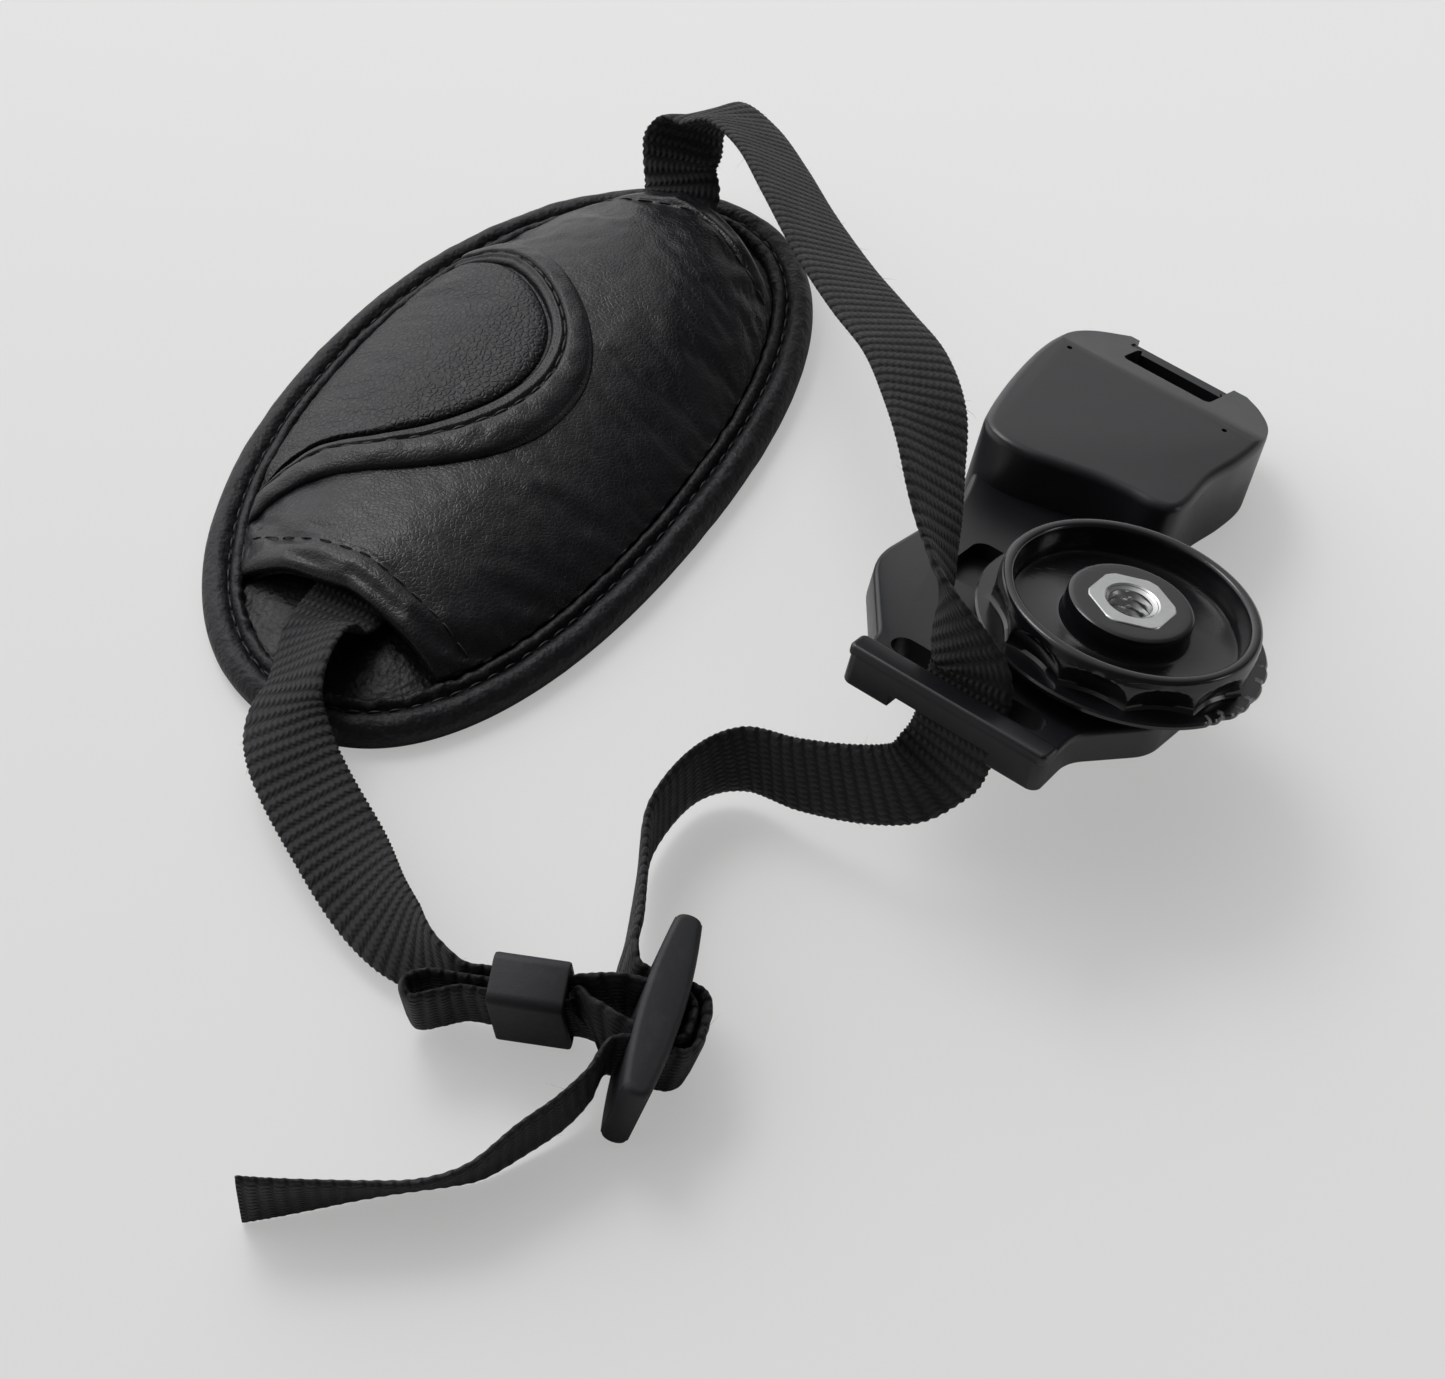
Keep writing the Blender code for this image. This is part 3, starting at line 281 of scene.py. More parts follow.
for i in range(len(stations)):
    ring, mark = [], []
    row = math.cos(2 * math.pi * run[i] / row_pitch)
    for side in (1, -1):
        for share in (shares if side > 0 else shares[::-1])[:-1]:
            selvedge = abs(share) ** 10
            tooth = tooth_size * selvedge * (row if share > 0 else -row)
            swell = web_thick / 2 * math.sqrt(max(0.0, 1 - abs(share) ** 7))
            lift = side * swell + row_ripple * row * (1 - selvedge)
            reach = share * (web_half * body_share) + math.copysign(tooth, share)
            ring.append(centre[i] + across[i] * reach + face[i] * lift)
            mark.append((run[i], share * web_half))
    rings.append(ring)
    marks.append(mark)
webbing = Look("woven_webbing", (0.01, 0.0105, 0.0115), 0.8, 0.28, Sheen_Weight=0.05, Sheen_Roughness=0.4)
along_web = webbing.node("ShaderNodeAttribute", output="Fac", attribute_name="along")
across_web = webbing.node("ShaderNodeAttribute", output="Fac", attribute_name="across")
stray = webbing.speckle(0.0012, 2.0) - 0.5
row_wave = (along_web * (2 * math.pi / row_pitch) + stray * 0.5).sine()
turn_about = (along_web * (math.pi / row_pitch) + math.pi / 4).sine() * (math.pi / 2)
yarn_wave = (across_web * (2 * math.pi / yarn_pitch) + turn_about + stray * 1.3).sine()
rib = row_wave * 0.5 + 0.5
second = (along_web * (4 * math.pi / row_pitch) + stray * 0.5).sine()
knuckle = rib * 0.4 + (yarn_wave * 0.5 + 0.5) * rib * 0.5 + second * yarn_wave * 0.08 + 0.06
fibre = webbing.speckle(0.00011, 2.0, 0.7)
patch = webbing.speckle(0.004, 2.0)
# The colour is painted darker in the weave's valleys and lighter on its knuckles, as painted shade and painted sheen;
# the fine fibres and patches are the tape's own uneven tone.
tone_and_weave_shade = knuckle.between(0.1, 0.9) * 0.8 + fibre * 0.35 + patch * 0.15 - 0.12
webbing.surface(tone_and_weave_shade, (0.0026, 0.0027, 0.0031), (0.021, 0.0215, 0.0235), 0.5 + patch * 0.3)
webbing.relief((knuckle, 0.0007, 0.9), (fibre, 0.00012, 0.9))
strap = make("webbing", *loft(rings), webbing, slot="webbing", instead=("webbing_strap",))


def marked(piece, title, values):
    """One number on each point, for the piece's material."""
    piece.data.attributes.new(title, "FLOAT", "POINT").data.foreach_set("value", values)


for column, title in enumerate(("along", "across")):
    marked(strap, title, [spot[column] for mark in marks for spot in mark])

# Fine loose fibres, under a millimetre long, stand out along the webbing's worn edges. A few are three times as
# long. None goes below the table.
hair_count, hair_radius, hair_knots = 1100, 0.000024, 5
picks = random.Random(31)
points, faces = [], []
for _ in range(hair_count):
    i = picks.randrange(len(stations))
    side = picks.choice((-1, 1))
    start = centre[i] + across[i] * side * web_half * 0.97
    reach = picks.uniform(0.0003, 0.0009) * (3.0 if picks.random() < 0.05 else 1.0)
    heading = across[i] * side + ahead[i] * picks.uniform(-1.4, 1.4) + face[i] * picks.uniform(-0.9, 0.9)
    bend = ahead[i] * picks.uniform(-1, 1) + face[i] * picks.uniform(-1, 1)
    hair = []
    for k in range(hair_knots):
        t = k / (hair_knots - 1)
        spot = start + (heading / np.linalg.norm(heading) * t + bend * t * t * 0.6) * reach
        spot[2] = max(spot[2], 0.00005)
        hair.append([spot + r * hair_radius * (1.1 - t) for r in (across[i], face[i], -across[i] - face[i])])
    more, skin = loft(hair)
    faces += [tuple(len(points) + v for v in f) for f in skin]
    points += more
make("webbing_fibres", points, faces, webbing, slot="webbing")


def rounded(corners, step=5.0):
    """An outline through corners given as (x, y, radius), each rounded by an arc."""
    outline = []
    for i, (x, y, radius) in enumerate(corners):
        here = Vector((x, y))
        before = (Vector(corners[i - 1][:2]) - here).normalized()
        after = (Vector(corners[(i + 1) % len(corners)][:2]) - here).normalized()
        angle = before.angle(after)
        start = here + before * (radius / math.tan(angle / 2))
        middle = here + (before + after).normalized() * (radius / math.sin(angle / 2))
        sweep = math.pi - angle
        parts = max(1, round(math.degrees(sweep) / step))
        turn = 1.0 if before.cross(after) < 0 else -1.0
        for k in range(parts + 1):
            arm = start - middle
            arm.rotate(Matrix.Rotation(turn * sweep * k / parts, 2))
            outline.append(tuple(middle + arm))
    return outline


def oblong(x0, y0, x1, y1, radius, step=15.0):
    """A rectangle with rounded corners."""
    return rounded([(x0, y0, radius), (x1, y0, radius), (x1, y1, radius), (x0, y1, radius)], step)


def inset(outline, distance):
    """A closed anticlockwise outline moved inwards, with mitred corners."""
    shape = np.asarray(outline, float)
    ahead = np.roll(shape, -1, axis=0) - shape
    ahead /= np.maximum(np.linalg.norm(ahead, axis=1), 1e-9)[:, None]
    inward = np.stack([-ahead[:, 1], ahead[:, 0]], axis=1)
    before = np.roll(inward, 1, axis=0)
    share = np.maximum(0.4, 1.0 + np.sum(inward * before, axis=1))
    return (shape + distance * (inward + before) / share[:, None]).tolist()


def prism(outline, low, high, edge_low=0.0, edge_high=0.0, parts=6):
    """Points in metres and faces of an upright solid in millimetres, with rounded bottom and top edges."""
    rings = []
    for edge, foot, sign in ((edge_low, low, 1), (edge_high, high, -1)):
        steps = range(parts + 1) if edge else (0,)
        band = []
        for k in steps:
            angle = math.pi / 2 * k / parts
            ring = inset(outline, edge * (1 - math.sin(angle))) if edge else outline
            band.append([(x / 1000, y / 1000, (foot + sign * edge * (1 - math.cos(angle))) / 1000) for x, y in ring])
        rings += band if sign > 0 else band[::-1]
    return loft(rings)


def carved(start, joined, cut):
    """Points and faces of a solid after some are joined to it and then others cut from it."""
    made = [linked("tool", closed_mesh("tool", *solid)) for solid in (start, *joined, *cut)]
    for k, tool in enumerate(made[1:]):
        step = made[0].modifiers.new("step", "BOOLEAN")
        step.operation = "UNION" if k < len(joined) else "DIFFERENCE"
        step.solver, step.object = "EXACT", tool
    shaped = made[0].evaluated_get(bpy.context.evaluated_depsgraph_get()).to_mesh()
    points = [tuple(v.co) for v in shaped.vertices]
    faces = [tuple(f.vertices) for f in shaped.polygons]
    for tool in made:
        bpy.data.objects.remove(tool, do_unlink=True)
    return points, faces


def standing(place, along_y, up):
    """A placement matrix from a place, a direction and an upward axis."""
    up = Vector(up).normalized()
    along_y = Vector(along_y)
    along_y = (along_y - up * along_y.dot(up)).normalized()
    matrix = Matrix((along_y.cross(up), along_y, up)).transposed().to_4x4()
    matrix.translation = place
    return matrix


# The keeper is a short dull black moulded tube, 9.7 mm long, with soft corners and rounded ends. Three layers of
# the webbing lie flat on one another inside it, and it slides along them.
dull = Look("dull_moulding", (0.014, 0.0145, 0.0165), 0.6, 0.35)
rub = dull.speckle(0.0009, 4.0, 0.65)
scuff = dull.speckle(0.0035).between(0.55, 0.7)
dull.surface(rub * 0.5 + scuff * 0.3, (0.011, 0.0115, 0.013), (0.026, 0.0265, 0.029), 0.48 + rub * 0.2)
dull.relief((dull.speckle(0.00025, 2.0), 0.00003, 0.5), (rub, 0.0001, 0.25))
travel, keeper_up = Vector((0.985, -0.174, 0.0)), Vector((-0.045, -0.252, 0.967))
keeper_place = standing((-0.0265, -0.0871, 0.0085), travel, keeper_up.cross(travel))
rings = []
for half_x, half_y, radius, y in ((7.05, 3.25, 1.1, -4.85), (7.28, 3.47, 1.3, -4.75), (7.4, 3.58, 1.5, -4.45),
                                  (7.4, 3.58, 1.5, 4.45), (7.28, 3.47, 1.3, 4.75), (7.05, 3.25, 1.1, 4.85),
                                  (6.5, 2.68, 0.5, 4.85), (6.3, 2.48, 0.4, 4.5), (6.3, 2.48, 0.4, -4.5),
                                  (6.5, 2.68, 0.5, -4.85)):
    outline = oblong(-half_x, -half_y, half_x, half_y, radius, 9.0)
    rings.append([(a / 1000, y / 1000, b / 1000) for a, b in outline])
keeper = make("keeper", *loft(rings, closed=True), dull, body="keeper", place=keeper_place, sharp=40,
              slot="dull_plastic", instead=("strap_keeper",))

# The slider is a bowed dull black bar, 26 mm long and thicker in its middle than at its round ends. It has two
# slots side by side, and the webbing wraps the narrow bar between them.
half_long, middle_half, end_half, end_round, half_high = 13.1, 2.8, 1.65, 0.9, 7.6
straight = half_long - end_round
bow = [(end_half + (middle_half - end_half) * (1 - (y / half_long) ** 2), y)
       for y in np.linspace(-straight, straight, 40)]
tip = [(end_half * math.cos(a), straight + end_round * math.sin(a)) for a in np.linspace(0.15, math.pi - 0.15, 11)]
outline = bow + tip + [(-x, -y) for x, y in bow] + [(-x, -y) for x, y in tip]


def bar(outline, low, high):
    """A straight solid along x, in millimetres, whose outline is given as (y, z)."""
    return loft([[(x / 1000, y / 1000, z / 1000) for y, z in outline] for x in (low, high)])


slots = [bar(oblong(middle - 1.8, -6.6, middle + 1.8, 6.6, 0.6), -6.0, 6.0) for middle in (-4.0, 4.0)]
points, faces = carved(prism(outline, -half_high, half_high, end_round, end_round, 5), (), slots)
slider_place = standing((-0.0117, -0.0916, 0.009), (0.255, 0.962, 0.102), (0.22, -0.16, 0.962))
slider = make("slider", points, faces, dull, place=slider_place, sharp=36, slot="dull_plastic",
              instead=("strap_slider",))

# The grip is a leaf-shaped pad about 119 by 67 mm, lying flat, with its long axis turned 59 degrees from +X.
# A wide tape is folded over its rim: an outer roll, a stitched groove, and an inner fold crinkled by the needle.
pad = Matrix.Translation((-0.0329, 0.0148, 0.0)) @ Matrix.Rotation(math.radians(59), 4, "Z")
pad_half_length, pad_half_width, pad_power = 0.0595, 0.0336, 2.15


def pad_centre(x):
    """The bowed centre line of the leaf."""
    return 0.0015 - 0.0034 * (x / pad_half_length) ** 2


def pad_reach(x, inwards):
    """Half the leaf's width at a place along it."""
    share = np.minimum(1.0, np.abs(x) / (pad_half_length - inwards))
    return (pad_half_width - inwards) * (1 - share ** pad_power) ** (1 / pad_power)


def leaf(inwards, count):
    angles = 2 * np.pi * np.arange(count) / count
    c, s = np.cos(angles), np.sin(angles)
    x = (pad_half_length - inwards) * np.sign(c) * np.abs(c) ** (2 / pad_power)
    y = (pad_half_width - inwards) * np.sign(s) * np.abs(s) ** (2 / pad_power)
    return np.stack([x, pad_centre(x) + y], 1)


def wobble(seed, *spot):
    """Smooth noise from -1 to 1 at a place."""
    return noise.noise(Vector((*spot, 0, 0)[:3]) + Vector((seed * 7.3, seed * 3.1, seed)))


rim_count = 1200
rim = leaf(0.0, rim_count)
turned = np.roll(rim, -1, 0) - np.roll(rim, 1, 0)
turned /= np.linalg.norm(turned, axis=1)[:, None]
inward = np.stack([-turned[:, 1], turned[:, 0]], 1)
lengths = np.concatenate([[0], np.cumsum(np.linalg.norm(np.diff(rim, axis=0), axis=1))])
tape = [(5.3, 0.5), (3.4, 0.15), (1.6, 0.0), (0.7, 0.25), (0.2, 0.9), (0.0, 1.8), (0.1, 2.7), (0.55, 3.6), (1.2, 4.3),
        (2.0, 4.65), (2.8, 4.6), (3.4, 4.2), (3.8, 3.7), (4.1, 3.9), (4.35, 4.5), (4.8, 4.95), (5.4, 4.95),
        (5.85, 4.5), (6.0, 3.9), (5.9, 3.0), (5.6, 1.6)]
section = smooth_curve(tape + tape[:1], 2)[:-1]
rings = []
for i in range(0, rim_count, 3):
    s = lengths[i] * 1000
    tip = min(1.0, max(0.0, (-rim[i][0] - 0.034) / 0.012))
    ring = []
    for d, z in section:
        fold = min(1.0, max(0.0, (d - 3.2) / 1.2)) * min(1.0, z / 3.5)
        pull = 0.45 * wobble(1, s / 9.0, d * 0.3) * (1 if z > 1 else 0)
        pucker = fold * (0.22 + 0.36 * tip) * wobble(2, s / 1.7, d * 0.5)
        crease = 0.16 * (1 if 0.8 < z else 0) * wobble(3, s / 2.6, d * 0.9)
        z_here = max(0.0, z + pull * 0.5 + pucker + crease) if z > 0.2 else z
        d_here = d + 0.5 * pucker + (0.25 * wobble(4, s / 12.0) * fold)
        spot = rim[i] + inward[i] * d_here / 1000
        ring.append((spot[0], spot[1], z_here / 1000))
    rings.append(ring)
binding = Look("rolled_binding", (0.008, 0.0084, 0.0098), 0.5, 0.25)
grain = binding.pebbles(0.0007)
crinkle = binding.speckle(0.0016, 4.0, 0.6)
dust = binding.speckle(0.0005, 2.0, 0.8).between(0.66, 0.74)
binding.surface(crinkle * 0.6 + dust * 0.4, (0.006, 0.0065, 0.0075), (0.017, 0.0175, 0.0195), 0.40 + crinkle * 0.22)
binding.relief((grain, 0.00014, 0.6), (crinkle, 0.0006, 0.6))
make("pad_edge", *loft(rings, closed=True), binding, place=pad, slot="binding", instead=("pad_binding",))


# The grip is sewn with black thread, in four rows: round the binding, along both hems and along the trim. Each
# stitch is a short round tuft that sinks into the leather at both ends.
def stitches(path, length=0.0021, gap=0.0007, radius=0.00016, lift=0.00012, seed=5):
    """Points and faces of a row of stitches along a line of places on a surface."""
    picks = random.Random(seed)
    path = np.asarray(path, float)
    away = np.concatenate([[0], np.cumsum(np.linalg.norm(np.diff(path, axis=0), axis=1))])
    points, faces = [], []
    knots, sunk = 7, 0.00022
    start = gap
    while start + length < away[-1]:
        spans = np.linspace(start, start + length * picks.uniform(0.85, 1.1), knots)
        line = np.stack([np.interp(spans, away, path[:, k]) for k in range(3)], 1)
        line[:, 2] += lift * np.sin(np.linspace(0, math.pi, knots)) - sunk * (np.abs(np.linspace(-1, 1, knots)) ** 6)
        heading = line[-1] - line[0]
        heading /= np.linalg.norm(heading)
        side = np.cross(heading, (0, 0, 1.0))
        side /= np.linalg.norm(side)
        rise = np.cross(side, heading)
        tufts = []
        for k, spot in enumerate(line):
            r = radius * (0.55 + 0.45 * math.sin(math.pi * k / (knots - 1)))
            tufts.append([spot + side * r * math.cos(a) + rise * r * math.sin(a)
                          for a in (2 * math.pi * j / 8 for j in range(8))])
        more, skin = loft(tufts)
        faces += [tuple(len(points) + v for v in f) for f in skin]
        points += more
        start += length + gap * picks.uniform(0.8, 1.3)
    return points, faces


thread = Look("sewing_thread", (0.009, 0.009, 0.01), 0.55)
ply = thread.speckle(0.0002, 2.0, 0.6)
thread.surface(ply, (0.004, 0.004, 0.0045), (0.02, 0.0205, 0.022), 0.45 + ply * 0.3)
groove = [(*(rim[i] + inward[i] * 0.0039), 0.00402) for i in range(0, rim_count, 2)]
make("binding_stitching", *stitches(groove), thread, place=pad, slot="binding")

# Inside the rim the grip's base is a thin panel of leatherette, pillowed by the foam under it. It shows only at
# the two ends, where it is puckered along the seam and shiny where it is stretched.
panel_rows = [0.0, 0.02, 0.05, 0.09, 0.14, 0.2, 0.27, 0.35, 0.44, 0.54, 0.66, 0.8, 0.93]
outline = leaf(0.0053, 240)
top_rings, low_rings = [], []
for share_in in panel_rows:
    share = 1 - share_in
    top_ring, low_ring = [], []
    for k, (x, y) in enumerate(outline):
        s = 2 * math.pi * k / 240
        pucker = 0.00022 * wobble(6, 9 * math.cos(s), 9 * math.sin(s), share * 3) * math.exp(-share_in / 0.12)
        rise = 0.0032 * (1 - share ** 3.4)
        sag = 0.00035 * wobble(7, x * share * 60, y * share * 60) * min(1.0, share_in / 0.15)
        top_ring.append((x * share, y * share, 0.0033 + rise + pucker + sag))
        low_ring.append((x * share, y * share, 0.0026 + rise * 0.9))
    top_rings.append(top_ring)
    low_rings.append(low_ring)
panel = Look("stretched_leatherette", (0.005, 0.0054, 0.0064), 0.36, 0.22)
grain = panel.pebbles(0.0008)
cloudy = panel.speckle(0.006)
dust = panel.speckle(0.00045, 2.0, 0.85).between(0.64, 0.72) * panel.speckle(0.007, 2.0).between(0.5, 0.62)
panel.surface(cloudy * 0.35 + dust, (0.004, 0.0043, 0.005), (0.022, 0.0225, 0.024), 0.30 + cloudy * 0.22)
panel.relief((grain, 0.00012, 0.6), (panel.speckle(0.002), 0.0006, 0.5))
make("grip_panel", *loft(low_rings[::-1] + top_rings), panel, place=pad, slot="leather", instead=("pad_panel",))

# The face against the hand is a soft black knit, slightly uneven over the foam. The foam between the knit and the
# leatherette is grey and open-celled, and shows nowhere.
knit = Look("knitted_lining", (0.014, 0.014, 0.015), 0.9, 0.25)
wales = knit.node("ShaderNodeTexWave", {"Vector": knit.place(turn=0.5), "Scale": 700.0, "Distortion": 2.0})
knit.surface(wales, (0.006, 0.006, 0.0066), (0.024, 0.024, 0.026))
knit.relief((wales, 0.0002, 0.7), (knit.speckle(0.0003), 0.0001, 0.5))
outline = leaf(0.0045, 240)
low_rings, top_rings = [], []
for share in (0.04, 0.2, 0.36, 0.52, 0.66, 0.78, 0.88, 0.95, 1.0):
    ring = [(x * share, y * share, 0.0009 + 0.00022 * wobble(21, x * share * 70, y * share * 70)
             + 0.00012 * wobble(22, x * 300, y * 300) * share ** 6) for x, y in outline]
    low_rings.append(ring)
    top_rings.append([(x, y, z + 0.0007) for x, y, z in ring])
make("grip_lining", *loft(low_rings + top_rings[::-1]), knit, place=pad, slot="lining", instead=("pad_lining",))
foam = Look("grip_foam", (0.05, 0.05, 0.05), 0.9)
cells = foam.pebbles(0.0006)
foam.surface(cells, (0.03, 0.03, 0.03), (0.08, 0.08, 0.08))
foam.relief((cells, 0.0002, 0.6))
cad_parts["pad_foam"].data.materials[0] = foam.material

# The cover is a domed sleeve of smooth leatherette over the webbing, sewn down along both sides and open at both
# ends, where it is folded under and stitched: a 5 mm hem at the lower mouth, 3.6 mm at the upper one. The webbing
# lifts the upper mouth, so soft folds run out from there.
cover_low, cover_high, cover_inset = -0.041, 0.051, 0.0061
low_hem, high_hem = 0.0050, 0.0036


def cover_ends(side):
    """Where the sleeve starts and ends along the grip, for a share of the way across from -1 to 1."""
    low = cover_low - 0.003 * side * np.where(side > 0, 0.45, -1.2)
    return low, cover_high - np.where(side > 0, 0.003, 0.0078) * np.abs(side) ** 1.7


def cover_shape(x, side):
    """The sleeve's height over the table before it is draped: a dome with folds fanning out from both mouths."""
    dome_length, edge, low_fold, high_fold = 0.091, 0.0048, 0.0003, 0.00065
    fan_x, fan_y = 0.055, 0.003
    away_low = x - cover_low
    along = away_low / dome_length
    crown = 0.012 + 0.0004 * np.maximum(0.0, 4 * along * (1 - along))
    crown = crown - 0.0013 * np.clip((along - 0.72) / 0.28, 0, 1) ** 1.5
    round_over = 2.7 + 1.6 * np.clip((along - 0.6) / 0.4, 0, 1)
    height = edge + (crown - edge) * np.maximum(0.0, 1 - np.abs(side) ** round_over) ** 0.8
    away_x, away_y = fan_x - x, side * pad_reach(x, cover_inset) - fan_y
    radius, bearing = np.hypot(away_x, away_y), np.arctan2(away_y, away_x)
    off_seam = 1 - side ** 4
    fade = np.exp(-radius / 0.032) * np.clip(radius / 0.006, 0, 1) * off_seam
    height = height + high_fold * fade * np.cos(bearing * 5.2 + 0.2)
    return height + low_fold * np.exp(-away_low / 0.02) * off_seam * np.cos((side + 0.15) * 9.0)


def cover_shares(rows, columns, low=0.0, high=1.0):
    """Grids of shares, along the sleeve from low to high and across it from -1 to 1, denser at its seams."""
    side = np.sin(np.pi / 2 * np.linspace(-1, 1, columns))
    return np.meshgrid(np.linspace(low, high, rows), side, indexing="ij")


def cover_grid(rows, columns):
    along, side = cover_shares(rows, columns)
    low, high = cover_ends(side)
    x = low + (high - low) * along
    return np.stack([x, pad_centre(x) + side * pad_reach(x, cover_inset), cover_shape(x, side)], 2)


def lattice(rows, columns):
    """The faces between the points of a grid."""
    return [(i * columns + j, i * columns + j + 1, (i + 1) * columns + j + 1, (i + 1) * columns + j)
            for i in range(rows - 1) for j in range(columns - 1)]


coarse_rows, coarse_columns = 64, 48
start_grid = cover_grid(coarse_rows, coarse_columns)
drape = np.zeros(start_grid.shape)
# The cloth solver works best at the size of clothes, so the sheet is draped ten times larger.
scale, most_moved, last_frame = 10, 0.0012, 20
mesh = bpy.data.meshes.new("drape")
outward = [(a, d, c, b) for a, b, c, d in lattice(coarse_rows, coarse_columns)]
mesh.from_pydata((start_grid.reshape(-1, 3) * scale).tolist(), [], outward)
sheet = linked("drape", mesh)
border = [i * coarse_columns + j for i in range(coarse_rows) for j in range(coarse_columns)
          if i in (0, coarse_rows - 1) or j in (0, coarse_columns - 1)]
sheet.vertex_groups.new(name="held").add(border, 1.0, "REPLACE")
cloth = sheet.modifiers.new("cloth", "CLOTH")
for words, value in (("quality", 6), ("mass", 0.02), ("tension_stiffness", 20), ("compression_stiffness", 20),
                     ("bending_stiffness", 1.5), ("shrink_min", -0.008), ("use_pressure", True),
                     ("uniform_pressure_force", 3.0), ("vertex_group_mass", "held")):
    setattr(cloth.settings, words, value)
cloth.settings.effector_weights.gravity = 0.1
cloth.collision_settings.use_collision = False
for step in range(1, last_frame + 1):
    bpy.context.scene.frame_set(step)
posed = sheet.evaluated_get(bpy.context.evaluated_depsgraph_get()).data
drape = np.array([v.co for v in posed.vertices]).reshape(start_grid.shape) / scale - start_grid
moved = np.linalg.norm(drape, axis=2, keepdims=True)
drape *= np.minimum(1.0, most_moved / np.maximum(moved, 1e-9))
bpy.context.scene.frame_set(1)
bpy.data.objects.remove(sheet, do_unlink=True)


def draped(along, side):
    """How far the draping moved the sleeve, at shares of its length and width."""
    i = np.clip(along, 0, 1) * (coarse_rows - 1)
    j = (np.arcsin(np.clip(side, -1, 1)) / np.pi + 0.5) * (coarse_columns - 1)
    i0 = np.clip(np.floor(i).astype(int), 0, coarse_rows - 2)
    j0 = np.clip(np.floor(j).astype(int), 0, coarse_columns - 2)
    fi, fj = (i - i0)[..., None], (j - j0)[..., None]
    return ((drape[i0, j0] * (1 - fj) + drape[i0, j0 + 1] * fj) * (1 - fi)
            + (drape[i0 + 1, j0] * (1 - fj) + drape[i0 + 1, j0 + 1] * fj) * fi)


def cover_point(x, y, lift=0.0):
    """A place on the draped sleeve over (x, y) on the grip, and how high it is."""
    x, y = np.asarray(x, float), np.asarray(y, float)
    side = np.clip((y - pad_centre(x)) / np.maximum(pad_reach(x, cover_inset), 1e-4), -1, 1)
    low, high = cover_ends(side)
    z = cover_shape(x, side) + draped((x - low) / (high - low), side)[..., 2] + lift
    return np.stack([x, y, z], -1)


def slab(top, bottom):
    """Points and faces of a closed sheet between two grids."""
    rows, columns = top.shape[:2]
    size = rows * columns
    points = np.concatenate([top.reshape(-1, 3), bottom.reshape(-1, 3)])
    faces = []
    for quad in lattice(rows, columns):
        faces += [quad, tuple(size + q for q in quad[::-1])]
    edge = list(range(columns)) + [i * columns + columns - 1 for i in range(1, rows)]
    edge += [(rows - 1) * columns + j for j in range(columns - 2, -1, -1)]
    edge += [i * columns for i in range(rows - 2, 0, -1)]
    faces += [(b, a, size + a, size + b) for a, b in zip(edge, edge[1:] + edge[:1])]
    return points, faces


def wobbles(seed, grid, fineness):
    """Smooth noise from -1 to 1 at each place of a grid."""
    return np.array([[wobble(seed, x * fineness, y * fineness) for x, y, _ in row] for row in grid])


along, side = cover_shares(190, 130)
fine = cover_grid(190, 130) + draped(along, side)
low, high = cover_ends(side)
from_low, from_high = fine[..., 0] - low, high - fine[..., 0]
from_seam = (1 - np.abs(side)) * pad_reach(fine[..., 0], cover_inset)
relief, groove_size, fold_lift, lip_drop = np.zeros(side.shape), 0.00038, 0.0002, 0.0007
for away, width in ((from_low, low_hem), (from_high, high_hem)):
    relief -= groove_size * np.exp(-((away - width) / groove_size) ** 2)
    relief += fold_lift * np.sin(np.pi * np.clip(away / width, 0, 1)) ** 0.6 * (away < width)
    relief -= lip_drop * np.clip(1 - away / 0.0006, 0, 1) ** 2
relief += 0.00030 * np.exp(-from_seam / 0.003) * wobbles(8, fine, 420)
relief += 0.00008 * np.exp(-np.abs(from_low - low_hem) / 0.0016) * wobbles(9, fine, 500)
relief += 0.00018 * wobbles(10, fine, 95) + 0.00007 * wobbles(16, fine, 420)
fine[..., 2] += relief * (1 - 0.6 * np.exp(-from_seam / 0.0012))
under = fine.copy()
under[..., 2] -= 0.0011
leather = Look("smooth_leatherette", (0.006, 0.0064, 0.0078), 0.34, 0.3)
grain = leather.pebbles(0.00072, "DISTANCE_TO_EDGE").between(0.0, 0.22)
pores = leather.speckle(0.00022, 2.0, 0.6)
cloudy = leather.speckle(0.009)
creases = leather.speckle(0.0022, 4.0, 0.6, stretch=(0.35, 1.0, 1.0), turn=0.3)
dust = leather.speckle(0.00035, 2.0, 0.85).between(0.69, 0.75) * leather.speckle(0.010, 2.0).between(0.52, 0.62)
leather.surface(cloudy * 0.4 + pores * 0.15 + dust, (0.004, 0.0043, 0.0052), (0.022, 0.0225, 0.0245),
                0.28 + cloudy * 0.16 - grain * 0.06)
leather.relief((grain, 0.00006, 0.4), (pores, 0.000025, 0.45), (creases, 0.0002, 0.35))
cover = make("cover", *slab(fine, under), leather, place=pad, slot="leather", instead=("cover_panel",))

# A thin knitted lining, a little smaller than the sleeve, follows it inside. It shows in the lower mouth, round
# the webbing.
inside = cover_grid(40, 30) + draped(*cover_shares(40, 30, 0.02, 0.98))
inside[..., 0] *= 0.985
inside[..., 1] *= 0.97
inside[..., 2] -= 0.0021
lower = inside.copy()
lower[..., 2] -= 0.0006
lining = make("cover_inside", *slab(inside, lower), knit, place=pad, slot="lining", instead=("cover_lining",))
for title, width, at_low in (("lower_hem_stitching", low_hem, True), ("upper_hem_stitching", high_hem, False)):
    share = np.linspace(-0.96, 0.96, 160)
    low, high = cover_ends(share)
    x = low + width if at_low else high - width
    line = cover_point(x, pad_centre(x) + share * pad_reach(x, cover_inset), -0.00018)
    make(title, *stitches(line, 0.0026, 0.0006, 0.00014, seed=11 + at_low), thread, place=pad, slot="leather")

